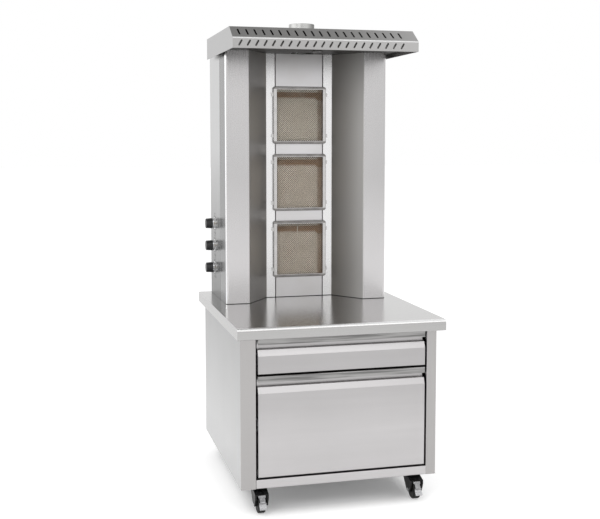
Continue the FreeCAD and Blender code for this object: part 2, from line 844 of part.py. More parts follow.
def burner_casing(height):
    z = worktop_top + height
    tile_z = z - tile_drop
    y0, y1 = y_at(burner_face_depth), y_at(casing_back_depth)
    tile_y = y_at(tile_face_depth)
    half_w, half_h = casing_half_width, casing_half_height
    body = box(-half_w, half_w, y0, y1, z - half_h, z + half_h)
    body = body.cut(box(-half_w + casing_wall, half_w - casing_wall, y0 - 1, tile_y,
                        z - half_h + casing_wall, z + half_h - casing_wall))
    seat_w = tile_area_width / 2 + joint_clearance
    seat_h = tile_area_height / 2 + joint_clearance
    body = body.cut(box(-seat_w, seat_w, tile_y - 1, tile_y + tile_thickness, tile_z - seat_h,
                        tile_z + seat_h))
    body = body.cut(box(-seat_w + tile_ledge, seat_w - tile_ledge, tile_y, y1 - casing_wall,
                        tile_z - seat_h + tile_ledge, tile_z + seat_h - tile_ledge))
    ear_y = y_at(panel_depth + seam_flange)
    for side in (-1, 1):
        for level in (-1, 1):
            x_in, x_out = side * (half_w - 1), side * (half_w + ear_length)
            ear_z = z + level * ear_offset
            body = body.fuse(box(min(x_in, x_out), max(x_in, x_out), ear_y, ear_y + ear_thickness,
                                 ear_z - ear_height / 2, ear_z + ear_height / 2))
    mix_y = y_at(mixer_depth)
    mouth_x = -half_w - mixer_length
    body = body.fuse(rod(mixer_radius, (-half_w + 1, mix_y, tile_z), (mouth_x, mix_y, tile_z)))
    body = body.fuse(rod(mixer_mouth_radius, (mouth_x + mixer_mouth_length, mix_y, tile_z),
                         (mouth_x, mix_y, tile_z)))
    plate_x = mouth_x - strap_length
    for level in (-1, 1):
        strap_z = tile_z + level * (mixer_mouth_radius - strap_thickness / 2)
        body = body.fuse(box(plate_x, mouth_x + 1, mix_y - strap_width / 2, mix_y + strap_width / 2,
                             strap_z - strap_thickness / 2, strap_z + strap_thickness / 2))
    body = body.fuse(box(plate_x - strap_thickness, plate_x, mix_y - strap_width, mix_y + strap_width,
                         tile_z - mixer_mouth_radius, tile_z + mixer_mouth_radius))
    bore = mixer_radius - mixer_wall
    body = body.cut(rod(bore, (-seat_w + tile_ledge + 1, mix_y, tile_z), (mouth_x - 1, mix_y, tile_z)))
    body = body.cut(rod(injector_radius + running_clearance, (plate_x + 1, mix_y, tile_z),
                        (plate_x - strap_thickness - 1, mix_y, tile_z)))
    probe_z = z + probe_rise
    return body.cut(rod(probe_hole_radius, (probe_x, tile_y - 1, probe_z), (probe_x, y1 + 1, probe_z)))


def burner_tiles(height):
    """Four ceramic plaques on the casing's ledge."""
    z = worktop_top + height - tile_drop
    y = y_at(tile_face_depth)
    plaques = []
    for side in (-1, 1):
        for level in (-1, 1):
            x_in, x_out = side * tile_joint / 2, side * tile_area_width / 2
            z_in, z_out = z + level * tile_joint / 2, z + level * tile_area_height / 2
            plaques.append(box(min(x_in, x_out), max(x_in, x_out), y, y + tile_thickness,
                               min(z_in, z_out), max(z_in, z_out)))
    return plaques


def burner_gauze(height):
    """Woven guard sheet as one plate with a diagonal grid of square gaps."""
    z = worktop_top + height
    y = y_at(burner_face_depth) - gauze_thickness
    half_w = casing_half_width
    half_h = casing_half_height
    edge = gauze_wire
    corners = [Vector(-half_w, y, z - half_h), Vector(half_w, y, z - half_h),
               Vector(half_w, y, z + half_h), Vector(-half_w, y, z + half_h)]
    outline = Part.makePolygon(corners + [corners[0]])
    reach = gauze_cell / 2 - gauze_wire / math.sqrt(2)
    columns = int((2 * (half_w - edge) - gauze_cell) / (gauze_cell / 2)) + 1
    rows = int((2 * (half_h - edge) - gauze_cell) / (gauze_cell / 2)) + 1
    gaps = []
    for column in range(columns):
        for row in range(rows):
            if (column + row) % 2:
                continue
            x = (column - (columns - 1) / 2) * gauze_cell / 2
            level = z + (row - (rows - 1) / 2) * gauze_cell / 2
            ring = [Vector(x - reach, y, level), Vector(x, y, level - reach),
                    Vector(x + reach, y, level), Vector(x, y, level + reach)]
            gaps.append(Part.makePolygon(ring + [ring[0]]))
    net = Part.makeFace([outline] + gaps, "Part::FaceMakerCheese").extrude(Vector(0, gauze_thickness, 0))
    probe_z = z + probe_rise
    return net.cut(rod(probe_hole_radius, (probe_x, y - 1, probe_z), (probe_x, y + 3, probe_z)))


def burner_guard(height):
    """Frame in front of the gauze, held off the strips by two lugs on each side."""
    z = worktop_top + height
    y_back = y_at(panel_depth) - guard_standoff
    y_face = y_back - guard_thickness
    half_w, half_h = guard_half_width, guard_half_height
    block = box(-half_w, half_w, y_face, y_back, z - half_h, z + half_h)
    corner_edges = [e for e in block.Edges
                    if abs(e.Vertexes[0].X - e.Vertexes[-1].X) < 1e-6
                    and abs(e.Vertexes[0].Z - e.Vertexes[-1].Z) < 1e-6]
    block = block.makeFillet(guard_corner_radius, corner_edges)
    front_face = [f for f in block.Faces if abs(f.CenterOfMass.y - y_face) < 1e-6][0]
    block = block.makeFillet(guard_edge_radius, front_face.OuterWire.Edges)
    in_w, in_h = half_w - guard_side_bar, half_h - guard_cross_bar
    window = box(-in_w, in_w, y_face - 1, y_back + 1, z - in_h, z + in_h)
    window_edges = [e for e in window.Edges
                    if abs(e.Vertexes[0].X - e.Vertexes[-1].X) < 1e-6
                    and abs(e.Vertexes[0].Z - e.Vertexes[-1].Z) < 1e-6]
    frame = block.cut(window.makeFillet(guard_edge_radius, window_edges))
    strip_y = y_at(panel_depth)
    for side in (-1, 1):
        for level in (-1, 1):
            x_in = side * (half_w - lug_width / 2)
            x_out = side * (half_w + lug_width)
            lug_z = z + level * lug_offset
            frame = frame.fuse(box(min(x_in, x_out), max(x_in, x_out), y_face + guard_edge_radius,
                                   strip_y, lug_z - lug_height / 2, lug_z + lug_height / 2))
    return frame


keep("burner_casings", *[burner_casing(height) for height in burner_heights])
keep("burner_tiles", *[tile for height in burner_heights for tile in burner_tiles(height)])
for level, height in zip(levels, burner_heights):
    keep("burner_gauze_" + level, burner_gauze(height))
    keep("burner_guard_" + level, burner_guard(height))


# Gas train: manifold with the inlet nipple, taps, pipes, injectors and thermocouples

def gas_manifold():
    y = y_at(tap_depth)
    low = worktop_top + inlet_height - manifold_overrun
    high = worktop_top + tap_heights[0] + manifold_overrun
    pipe = rod(manifold_radius, (manifold_x, y, low), (manifold_x, y, high))
    inner = rod(manifold_bore, (manifold_x, y, low + sheet), (manifold_x, y, high - sheet))
    z_inlet = worktop_top + inlet_height
    y_end = y_at(tower_back_depth) + inlet_reach
    y_shoulder = y_at(tower_back_depth) + inlet_shoulder_gap
    pipe = pipe.fuse(rod(manifold_radius, (manifold_x, y, z_inlet), (manifold_x, y_shoulder + 1, z_inlet)))
    pipe = pipe.fuse(rod(inlet_radius, (manifold_x, y_shoulder, z_inlet), (manifold_x, y_end, z_inlet)))
    inner = inner.fuse(rod(inlet_bore, (manifold_x, y, z_inlet), (manifold_x, y_end + 1, z_inlet)))
    tap_end = -tower_half_width + sheet + tap_length
    for height in tap_heights:
        z = worktop_top + height
        pipe = pipe.fuse(rod(tap_outlet_radius, (tap_end, y, z), (manifold_x, y, z)))
    return pipe.cut(inner)


def gas_tap(height):
    """Brass body with a bore for the stem, an outlet at the front and a probe port at the back."""
    x, y, z = tap_line(height)
    x_face = x + sheet
    body = rod(tap_radius, (x_face, y, z), (x_face + tap_length, y, z))
    body = body.fuse(rod(tap_outlet_radius, (tap_outlet_x, y, z), (tap_outlet_x, y - tap_outlet_length, z)))
    body = body.fuse(rod(tap_port_radius, (tap_port_x, y, z), (tap_port_x, y + tap_port_length, z)))
    return body.cut(rod(stem_radius + running_clearance, (x_face - 1, y, z),
                        (x_face + stem_inside + joint_clearance, y, z)))


def tap_stem(height):
    """Turning stem: plug in the tap, shoulder through the side plate, flatted shank in the knob."""
    x, y, z = tap_line(height)
    shoulder_x = x - bezel_thickness
    stem = rod(stem_radius, (x + sheet + stem_inside, y, z), (shoulder_x, y, z))
    shank = rod(shank_radius, (shoulder_x + 1, y, z), (shoulder_x - shank_length, y, z))
    flat = box(shoulder_x - shank_length - 1, shoulder_x, y - stem_radius, y + stem_radius,
               z + shank_flat, z + stem_radius)
    return stem.fuse(shank.cut(flat))


def knob_bezel(height):
    x, y, z = tap_line(height)
    return tube(bezel_radius, tap_hole_radius, (x - bezel_thickness, y, z), (x, y, z))


def knob(height):
    """Round knob with a skirt and a flatted bore that slides on the shank."""
    x, y, z = tap_line(height)
    back_x = x - bezel_thickness - knob_travel - knob_rest_gap
    skirt_x = back_x - knob_skirt_length
    end_x = skirt_x - knob_length
    skirt = rod(knob_skirt_radius, (back_x, y, z), (skirt_x, y, z))
    grip = Part.makeCone(knob_base_radius, knob_end_radius, knob_length, Vector(skirt_x, y, z),
                         Vector(-1, 0, 0))
    end_edges = [e for e in grip.Edges if abs(e.CenterOfMass.x - end_x) < 1e-3]
    grip = grip.makeFillet(knob_edge_radius, end_edges)
    bore_end = x - bezel_thickness - shank_length - knob_travel - knob_rest_gap
    bore = rod(shank_radius + running_clearance, (back_x + 1, y, z), (bore_end, y, z))
    bore = bore.cut(box(bore_end - 1, back_x + 2, y - stem_radius, y + stem_radius,
                        z + shank_flat + running_clearance, z + stem_radius))
    return grip.fuse(skirt).cut(bore)


def gas_pipe(level):
    """Supply pipe from a tap's outlet to its injector, clear of the other two."""
    y_start = y_at(tap_depth) - tap_outlet_length
    z_tap = worktop_top + tap_heights[level]
    z_mix = worktop_top + burner_heights[level] - tile_drop
    y_mix = y_at(mixer_depth)
    y_rise = y_mix + (2 - level) * pipe_run_spacing
    x_tail = injector_tail_x()
    points = [(tap_outlet_x, y_start, z_tap), (tap_outlet_x, y_rise, z_tap), (tap_outlet_x, y_rise, z_mix)]
    if level < 2:
        points.append((tap_outlet_x, y_mix, z_mix))
    points.append((x_tail, y_mix, z_mix))
    return bent_pipe(points, pipe_bend, pipe_radius, pipe_bore)


def injector_plate_x():
    """Outer face of the plate that holds an injector."""
    return -casing_half_width - mixer_length - strap_length - strap_thickness


def injector_tail_x():
    return injector_plate_x() - injector_head_length


def gas_injector(height):
    y, z = y_at(mixer_depth), worktop_top + height - tile_drop
    plate_x = injector_plate_x()
    nozzle = rod(injector_radius, (plate_x, y, z), (plate_x + injector_length, y, z))
    head = rod(injector_head_radius, (plate_x, y, z), (injector_tail_x(), y, z))
    jet = rod(pipe_bore / 4, (injector_tail_x() - 1, y, z), (plate_x + injector_length + 1, y, z))
    return head.fuse(nozzle).cut(jet)


def thermocouple(level):
    """Probe above the plaques and its lead to the tap; the lowest one hooks down over the gauze."""
    z_probe = worktop_top + burner_heights[level] + probe_rise
    z_tap = worktop_top + tap_heights[level]
    y_run = y_at(lead_run_depth)
    y_drop = y_at(lead_drop_depth + lead_spacing * level)
    x_drop = lead_drop_x + lead_spacing * level
    y_port = y_at(tap_depth) + tap_port_length
    tail = [(probe_x, y_run, z_probe), (x_drop, y_run, z_probe), (x_drop, y_drop, z_probe),
            (x_drop, y_drop, z_tap), (tap_port_x, y_drop, z_tap), (tap_port_x, y_port, z_tap)]
    if level < 2:
        start = [(probe_x, y_at(burner_face_depth + recess_depth / 2), z_probe)]
    else:
        y_hook = y_at(panel_depth) - probe_hook_gap
        start = [(probe_x, y_hook, z_probe - probe_hook_length), (probe_x, y_hook, z_probe)]
    return bent_pipe(start + tail, lead_bend, lead_radius)


keep("gas_manifold", gas_manifold())
keep("gas_taps", *[gas_tap(height) for height in tap_heights])
keep("gas_pipes", *[gas_pipe(level) for level in range(3)])
keep("gas_injectors", *[gas_injector(height) for height in burner_heights])
keep("thermocouples", *[thermocouple(level) for level in range(3)])
keep("knob_bezels", *[knob_bezel(height) for height in tap_heights])
for level, height in zip(levels, tap_heights):
    keep("tap_stem_" + level, tap_stem(height))
    keep("knob_" + level, knob(height))


# Spit drive in the hood, with its turning socket in the deck, and the cable gland

def spit_gearmotor():
    y, z0 = y_at(spit_depth), tower_top + sheet
    half = gearbox_width / 2
    housing = box(-half, half, y - gearbox_depth / 2, y + gearbox_depth / 2, z0, z0 + gearbox_height)
    upright = [e for e in housing.Edges
               if abs(e.Vertexes[0].X - e.Vertexes[-1].X) < 1e-6
               and abs(e.Vertexes[0].Y - e.Vertexes[-1].Y) < 1e-6]
    housing = housing.makeFillet(gearbox_height / 6, upright)
    boss_low = tower_top - gearbox_boss_drop
    housing = housing.fuse(rod(gearbox_boss_radius, (0, y, boss_low), (0, y, z0 + 1)))
    shaft_top = boss_low + socket_shaft_length
    housing = housing.cut(rod(socket_shaft_radius + running_clearance, (0, y, boss_low - 1),
                              (0, y, shaft_top + joint_clearance)))
    z_motor = z0 + motor_radius + joint_clearance
    motor = rod(motor_radius, (half, y, z_motor), (half + motor_length, y, z_motor))
    motor = motor.fuse(rod(motor_end_radius, (half + motor_length, y, z_motor),
                           (half + motor_length + motor_end_length, y, z_motor)))
    return housing, motor


def drive_socket():
    """Turning socket: shaft in the gearbox, head under the deck with a bore and a drive slot."""
    y = y_at(spit_depth)
    boss_low = tower_top - gearbox_boss_drop
    head_top = boss_low - joint_clearance
    head_low = head_top - socket_head_length
    shaft = rod(socket_shaft_radius, (0, y, head_top - 1), (0, y, boss_low + socket_shaft_length))
    head = rod(socket_head_radius, (0, y, head_low), (0, y, head_top))
    bore = rod(socket_bore_radius, (0, y, head_low - 1), (0, y, head_low + socket_bore_length))
    slot = box(-socket_head_radius - 1, socket_head_radius + 1, y - socket_slot_width / 2,
               y + socket_slot_width / 2, head_low - 1, head_low + socket_slot_depth)
    return shaft.fuse(head).cut(bore).cut(slot)


def cable_gland():
    y, z = y_at(tower_back_depth), worktop_top + gland_height
    inner_y = y - sheet
    body = rod(gland_radius, (gland_x, inner_y - gland_nut_length, z), (gland_x, y + gland_reach, z))
    flange = rod(gland_flange_radius, (gland_x, y, z), (gland_x, y + gland_reach / 3, z))
    nut = rod(gland_flange_radius, (gland_x, inner_y - gland_nut_length, z), (gland_x, inner_y, z))
    bore = rod(gland_bore, (gland_x, inner_y - gland_nut_length - 1, z), (gland_x, y + gland_reach + 1, z))
    return body.fuse(flange).fuse(nut).cut(bore)


def cover_screw(point):
    """Pan-head screw that points into the grill from its back."""
    x, y, z = point
    head = Part.makeCone(screw_head_radius, screw_head_radius * 0.7, screw_head_height,
                         Vector(x, y, z), Vector(0, 1, 0))
    return head.fuse(rod(screw_radius, (x, y + screw_head_height / 2, z), (x, y - screw_length, z)))


keep("spit_gearmotor", *spit_gearmotor())
keep("drive_socket", drive_socket())
keep("cable_gland", cable_gland())


def castor_bolt(x, y):
    """Bolt through a castor plate and the cabinet floor, with its nut on top."""
    low, high = castor_height - castor_plate_thickness, castor_height + sheet
    head = rod(bolt_head_radius, (x, y, low - bolt_head_height), (x, y, low))
    shank = rod(castor_bolt_radius, (x, y, low - 1), (x, y, high + bolt_nut_height))
    nut = rod(bolt_head_radius, (x, y, high), (x, y, high + bolt_nut_height))
    return head.fuse(shank).fuse(nut)


keep("assembly_screws", *[cover_screw(point) for point in screw_points()],
     *[castor_bolt(x, y) for x, y in castor_bolt_points()])


# Castors: plate with cup and kingpin, fork with its axle, wheel, and a brake pedal at the front

def castor_plate(x, y):
    top = castor_height
    low = top - castor_plate_thickness
    half_w, half_d = castor_plate_width / 2, castor_plate_depth / 2
    plate = box(x - half_w, x + half_w, y - half_d, y + half_d, low, top)
    for dx in (-1, 1):
        for dy in (-1, 1):
            bolt_x = x + dx * castor_bolt_spacing_x / 2
            bolt_y = y + dy * castor_bolt_spacing_y / 2
            plate = plate.cut(rod(castor_bolt_radius + castor_bolt_clearance, (bolt_x, bolt_y, low - 1),
                                  (bolt_x, bolt_y, top + 1)))
    cup_low = low - swivel_cup_height
    plate = plate.fuse(rod(swivel_cup_radius, (x, y, cup_low), (x, y, low)))
    return plate.fuse(rod(kingpin_radius, (x, y, cup_low - crown_thickness), (x, y, cup_low)))


def castor_fork(x, y, brake):
    """Crown, two legs and the riveted axle; a braked fork also holds the pedal's pin."""
    crown_top = castor_height - castor_plate_thickness - swivel_cup_height - joint_clearance
    crown_low = crown_top - crown_thickness
    inner = hub_width / 2 + leg_gap
    outer = inner + leg_thickness
    axle_y = y - castor_trail
    front = y + crown_front
    front_top = crown_top - crown_front_drop
    crown_shape = [(y + crown_rear, crown_low), (y + crown_rear, crown_top),
                   (y + crown_slope_rear, crown_top), (front, front_top), (front, front_top - sheet),
                   (y + crown_slope_rear, crown_low)]
    crown = rounded_prism("yz", x - outer, 2 * outer, crown_shape, [0, 4, 6, 1, 0, 6])
    leg_shape = [(y + crown_rear, crown_low - 2), (y + crown_rear, crown_top - 4),
                 (y + crown_slope_rear, crown_top - 4), (front, front_top - 1),
                 (front, front_top - leg_brow), (axle_y - leg_round, wheel_radius - leg_round + 3),
                 (axle_y + leg_round, wheel_radius - leg_round + 3)]
    fork = crown
    for side in (-1, 1):
        leg_x = x + (inner if side > 0 else -outer)
        fork = fork.fuse(rounded_prism("yz", leg_x, leg_thickness, leg_shape, [5, 2, 6, 2, 6, 9, 9]))
    fork = fork.cut(rod(kingpin_radius + running_clearance, (x, y, crown_low - 1), (x, y, crown_top + 1)))
    axle = rod(axle_radius, (x - outer, axle_y, wheel_radius), (x + outer, axle_y, wheel_radius))
    for side in (-1, 1):
        axle = axle.fuse(rod(axle_head_radius, (x + side * (outer - 0.5), axle_y, wheel_radius),
                             (x + side * (outer + axle_head_length), axle_y, wheel_radius)))
    fork = fork.fuse(axle)
    if brake:
        pin_y, pin_z = axle_y - pedal_pin_back, wheel_radius + pedal_pin_rise
        fork = fork.fuse(rod(pedal_pin_radius, (x - inner - 1, pin_y, pin_z), (x + inner + 1, pin_y, pin_z)))
    return fork


def castor_wheel(x, y):
    axle_y = y - castor_trail
    half = wheel_width / 2
    wheel = rod(wheel_radius, (x - half, axle_y, wheel_radius), (x + half, axle_y, wheel_radius))
    wheel = wheel.makeFillet(wheel_edge_radius, [e for e in wheel.Edges if e.Length > 6 * wheel_radius])
    hub = rod(hub_radius, (x - hub_width / 2, axle_y, wheel_radius), (x + hub_width / 2, axle_y, wheel_radius))
    bore = rod(axle_radius + running_clearance, (x - hub_width, axle_y, wheel_radius),
               (x + hub_width, axle_y, wheel_radius))
    return wheel.fuse(hub).cut(bore)


def brake_pedal(x, y):
    """Folded pedal in front of the wheel: a narrow upper plate under the pin and a toe that flares out."""
    axle_y = y - castor_trail
    pin_y, pin_z = axle_y - pedal_pin_back, wheel_radius + pedal_pin_rise
    x0, x1 = x - pedal_half_width, x + pedal_half_width
    fold = [(pin_y - 1, pin_z), (axle_y - pedal_crease_back, wheel_radius + pedal_crease_rise),
            (axle_y - pedal_tuck_back, wheel_radius + pedal_tuck_rise),
            (axle_y - pedal_toe_back, wheel_radius - pedal_toe_drop)]
    plate = bent_sheet("yz", x0, x1 - x0, fold, thickness=pedal_thickness,
                       radii=[pedal_crease_radius, pedal_crease_radius + pedal_thickness])
    waist_low, waist_high = wheel_radius + pedal_crease_rise, pin_z - pedal_sleeve_radius
    for low, high in ((x0 - 1, x0 + pedal_waist_notch), (x1 - pedal_waist_notch, x1 + 1)):
        plate = plate.cut(box(low, high, axle_y - pedal_toe_back, axle_y, waist_low, waist_high))
    sleeve = rod(pedal_sleeve_radius, (x0, pin_y, pin_z), (x1, pin_y, pin_z))
    bore = rod(pedal_pin_radius + running_clearance, (x0 - 1, pin_y, pin_z), (x1 + 1, pin_y, pin_z))
    return plate.fuse(sleeve).cut(bore)


keep("castor_plates", *[castor_plate(x, y) for x, y in castor_places()])
for corner, (x, y) in zip(["front_left", "front_right", "rear_left", "rear_right"], castor_places()):
    brake = corner.startswith("front")
    keep("castor_fork_" + corner, castor_fork(x, y, brake))
    keep("castor_wheel_" + corner, castor_wheel(x, y))
    if brake:
        keep("brake_pedal_" + corner, brake_pedal(x, y))


# Write one file for each node
os.makedirs("parts", exist_ok=True)
for name, pieces in nodes.items():
    solids = [solid for piece in pieces for solid in piece.removeSplitter().Solids]
    shape = solids[0] if len(solids) == 1 else Part.makeCompound(solids)
    shape.exportStep("parts/" + name + ".step")
    print(name, len(solids), "solids", round(sum(solid.Volume for solid in solids)), "mm3",
          "valid" if shape.isValid() else "not valid")
print(len(nodes), "nodes")
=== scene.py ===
# %% [markdown]
# # A doner kebab grill in stainless steel
# The grill stands on castors: a cabinet with two drawers, a worktop, and a tower with three gas
# burners between polished wings, under a slotted hood. The frame below brings in its exact solids.
# Everything after that dresses those solids: sheet metal with soft bends, woven gauze, ceramic
# plaques, knobs and wheels, then a pale studio and a camera.

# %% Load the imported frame
import json
import math

import bmesh
import bpy
from mathutils import Matrix, Vector


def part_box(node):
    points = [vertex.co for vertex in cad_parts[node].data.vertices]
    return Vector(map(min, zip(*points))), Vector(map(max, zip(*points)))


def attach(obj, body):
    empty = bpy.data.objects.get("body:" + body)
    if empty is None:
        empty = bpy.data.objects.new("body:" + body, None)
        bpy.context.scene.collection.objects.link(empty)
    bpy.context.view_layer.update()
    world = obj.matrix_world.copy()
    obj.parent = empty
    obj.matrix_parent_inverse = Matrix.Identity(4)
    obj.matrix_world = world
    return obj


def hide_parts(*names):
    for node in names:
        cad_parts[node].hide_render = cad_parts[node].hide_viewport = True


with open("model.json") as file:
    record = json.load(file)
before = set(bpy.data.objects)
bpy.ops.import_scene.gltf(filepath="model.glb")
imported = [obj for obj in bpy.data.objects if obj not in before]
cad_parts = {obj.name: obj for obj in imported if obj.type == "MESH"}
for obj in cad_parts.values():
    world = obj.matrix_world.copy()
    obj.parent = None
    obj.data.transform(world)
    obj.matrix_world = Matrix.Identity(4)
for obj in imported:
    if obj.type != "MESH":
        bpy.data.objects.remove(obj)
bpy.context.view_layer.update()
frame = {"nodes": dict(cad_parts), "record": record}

bodies_of_record = frame["record"]["behaviour"]["bodies"]
body_of_node = {node: body for body, members in bodies_of_record.items() for node in members}

# %% [markdown]
# ## Where things are
# Places that several pieces share are read from the solids' own boxes, in metres, so that a piece
# stays on what carries it. There are three burners and three knobs, one above the other.

# %% Places that several pieces share
def middle(box):
    return (box[0] + box[1]) / 2


levels = ("top", "middle", "bottom")
gauze_boxes = {level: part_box("burner_gauze_" + level) for level in levels}
knob_boxes = {level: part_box("knob_" + level) for level in levels}
knob_places = {level: middle(box) for level, box in knob_boxes.items()}
tower_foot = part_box("worktop")[1].z
side_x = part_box("tower_left_side")[0].x
back_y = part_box("tower_back_cover")[1].y
print("left side at", round(side_x, 4), "back at", round(back_y, 4), "worktop at", round(tower_foot, 4))

# %% [markdown]
# ## The camera
# The photograph was taken from the front and left, a little below eye height, with a long lens. Its
# upright edges stay nearly parallel, which a view camera does by shifting the lens. Here most of that
# is a small downward tilt, and only the rest is shift, so that other views stay framed.

# %% Camera
def new_object(name, data):
    """An object that holds the data and is part of the scene."""
    made = bpy.data.objects.new(name, data)
    bpy.context.scene.collection.objects.link(made)
    return made


tilt_down, turn_right = 4.90, 14.397
camera_data = bpy.data.cameras.new("photo_camera")
camera_data.lens = 59.74
camera_data.sensor_width = 36.0
camera_data.shift_y = -0.06
camera_data.clip_end = 60.0
camera = new_object("photo_camera", camera_data)
camera.location = (-0.9892, -3.6747, 1.2985)
camera.rotation_euler = (math.radians(90.0 - tilt_down), 0.0, math.radians(-turn_right))
bpy.context.scene.camera = camera
print("camera at", tuple(round(value, 3) for value in camera.location))

# %% [markdown]
# ## Node boards
# Shader trees and geometry trees are both boards of nodes. The first class stands for one output of
# a node, so that `1 - mask * 0.4` adds the Math nodes by itself and reads like the sum it is.

# %% Wires that can be calculated with
class Wire:
    """One output socket on a board."""

    def __init__(self, board, socket):
        self.board = board
        self.socket = socket

    def math(self, operation, other=0.0):
        return self.board.node("ShaderNodeMath", {0: self, 1: other}, operation=operation)

    def __add__(self, other):
        return self.math("ADD", other)

    __radd__ = __add__

    def __sub__(self, other):
        return self.math("SUBTRACT", other)

    def __rsub__(self, other):
        return self.board.node("ShaderNodeMath", {0: other, 1: self}, operation="SUBTRACT")

    def __mul__(self, other):
        return self.math("MULTIPLY", other)

    def __truediv__(self, other):
        return self.math("DIVIDE", other)


print("sums with a wire become Math nodes")

# %% [markdown]
# The second class adds a node to a tree, sets or links its inputs, and hands back one output as a
# wire. Nodes that are needed often get a shorter method.

# %% Boards
class Board:
    """A node tree."""

    def __init__(self, tree):
        self.tree = tree

    def link(self, wire, socket):
        self.tree.links.new(wire.socket, socket)

    def node(self, kind, inputs=None, out=0, **settings):
        made = self.tree.nodes.new(kind)
        for key, value in settings.items():
            setattr(made, key, value)
        for key, value in (inputs or {}).items():
            if isinstance(value, Wire):
                self.link(value, made.inputs[key])
            else:
                made.inputs[key].default_value = value
        return Wire(self, made.outputs[out])

    def between(self, wire, low, high, to_low=0.0, to_high=1.0, curve="LINEAR"):
        """Carry one range over to another, and hold the value beyond both ends."""
        return self.node("ShaderNodeMapRange", {"Value": wire, "From Min": low, "From Max": high,
                                                "To Min": to_low, "To Max": to_high},
                         interpolation_type=curve)

    def split(self, vector):
        """The X, Y and Z of a vector."""
        parts = self.node("ShaderNodeSeparateXYZ", {"Vector": vector})
        return [Wire(self, socket) for socket in parts.socket.node.outputs]


print("boards ready")

# %% [markdown]
# ## Finishes
# Every finish starts from the same few readings: the object's own coordinates, stretched noise for
# grain, broad noise for handling marks, and a bump. The class below keeps them in one place. All of it
# is calculated from where a point is, so no piece has to be unwrapped and no image is needed.

# %% A finish
def grey(tone):
    return (tone, tone, tone)


def along(grain, long, fine):
    """Noise scales that stretch a pattern along one axis."""
    return tuple(long if letter == grain else fine for letter in "XYZ")


class Finish(Board):
    """A material with a Principled shader whose uniform values are set directly."""

    def __init__(self, name, **uniform):
        self.material = bpy.data.materials.new(name)
        self.material.use_nodes = True
        super().__init__(self.material.node_tree)
        self.shader = self.tree.nodes["Principled BSDF"]
        for key, value in uniform.items():
            self.shader.inputs[key.replace("_", " ")].default_value = value
        self.place = self.node("ShaderNodeTexCoord", out="Object")
        self.x, self.y, self.z = self.split(self.place)

    def noise(self, scale, detail=2.0, stretch=None):
        place = self.place
        if stretch:
            place = self.node("ShaderNodeMapping", {"Vector": place, "Scale": stretch})
        return self.node("ShaderNodeTexNoise", {"Vector": place, "Scale": scale, "Detail": detail})

    def band(self, wire, rise, fall):
        """1 between two places; rise and fall say where each change starts and ends."""
        return self.between(wire, *rise) * self.between(wire, *fall)

    def mix(self, factor, first, second):
        """Blend two colours. A colour is a wire or three linear values."""
        first, second = [colour if isinstance(colour, Wire) else (*colour, 1.0)
                         for colour in (first, second)]
        return self.node("ShaderNodeMix", {0: factor, 6: first, 7: second}, out=2, data_type="RGBA")

    def clouded(self, cloud, dark, light):
        """Let a noise wander between two tones."""
        return self.mix(self.between(cloud, 0.3, 0.7), dark, light)

    def done(self, colour, roughness, height, depth):
        """Link the colour, the roughness and a bump, and hand back the material."""
        normal = self.node("ShaderNodeBump", {"Height": height, "Distance": depth})
        for key, wire in (("Base Color", colour), ("Roughness", roughness), ("Normal", normal)):
            self.link(wire, self.shader.inputs[key])
        return self.material


print("finish helper ready, grain up the tower is", along("Z", 6.0, 900.0))

# %% [markdown]
# ### Brushed stainless sheet
# Stainless sheet is rolled and then brushed, so its grain runs one way: along the worktop and the
# drawers, and up the tower. Stretching a noise texture along the grain gives the fine lines. A second,
# broad noise gives the faint cloudy look of metal that has been wiped. The lines move the roughness
# more than the colour, because that is what brushing really does.

# %% Brushed sheet
class Sheet(Finish):
    """Brushed sheet that still needs its colour. Lines is how far its hair lines move the roughness."""

    def __init__(self, name, rough, grain, lines=0.07):
        super().__init__(name, Metallic=1.0)
        hair = self.noise(1.0, 3.0, along(grain, 6.0, 900.0))
        stripe = self.noise(1.0, 2.0, along(grain, 2.0, 40.0))
        self.wiped = self.noise(3.2, 4.0)
        self.cloud = self.wiped * 0.6 + stripe * 0.4
        self.roughness = rough - lines / 2 + hair * lines + (self.wiped - 0.5) * 0.06
        self.relief = hair * 0.5 + stripe * 0.5

    def toned(self, tone, spread=0.05):
        """Clouds that go a little to both sides of one tone."""
        dark, light = [[channel * swing for channel in tone] for swing in (1.0 - spread, 1.0 + spread)]
        return self.clouded(self.cloud, dark, light)

    def faded(self, colour, tone, start, end):
        """Change the colour into a tone between two heights, with a ragged edge."""
        return self.mix(self.between(self.z + (self.wiped - 0.5) * 0.12, start, end), colour, tone)

    def brushed(self, colour):
        return self.done(colour, self.roughness, self.relief, 0.000025)


def plain_sheet(name, tone, rough, grain, spread=0.05):
    sheet = Sheet(name, rough, grain)
    return sheet.brushed(sheet.toned(tone, spread))


louvre_sheet = plain_sheet("sheet grain along X", (0.55, 0.545, 0.54), 0.30, "X")
back_sheet = plain_sheet("sheet grain along Z", grey(0.55), 0.30, "Z")
rail_sheet = plain_sheet("bottom rail sheet", (0.61, 0.596, 0.598), 0.30, "X")
inner_sheet = plain_sheet("inner sheet", grey(0.46), 0.36, "X", 0.08)
print("plain sheets ready")

# %% [markdown]
# ### Worktop and sides
# Some sheets get painted light and shade. The worktop's rounded front edge gets a painted highlight,
# the tower's sides are painted darker towards their foot, where painted shade marks the joint, and the
# cabinet's sides are painted darker towards the top, under the worktop. An image could carry these, but
# a mask made from the height or the depth needs none, and follows the solid's own box.

# %% Worktop and sides
def shaded_joint(finish, colour):
    """Painted shade: a dark line two millimetres high, in the joint where the tower stands on the worktop.
    """
    joint = finish.between(finish.z, tower_foot + 0.0024, tower_foot + 0.0018)
    return finish.mix(joint, colour, grey(0.05))


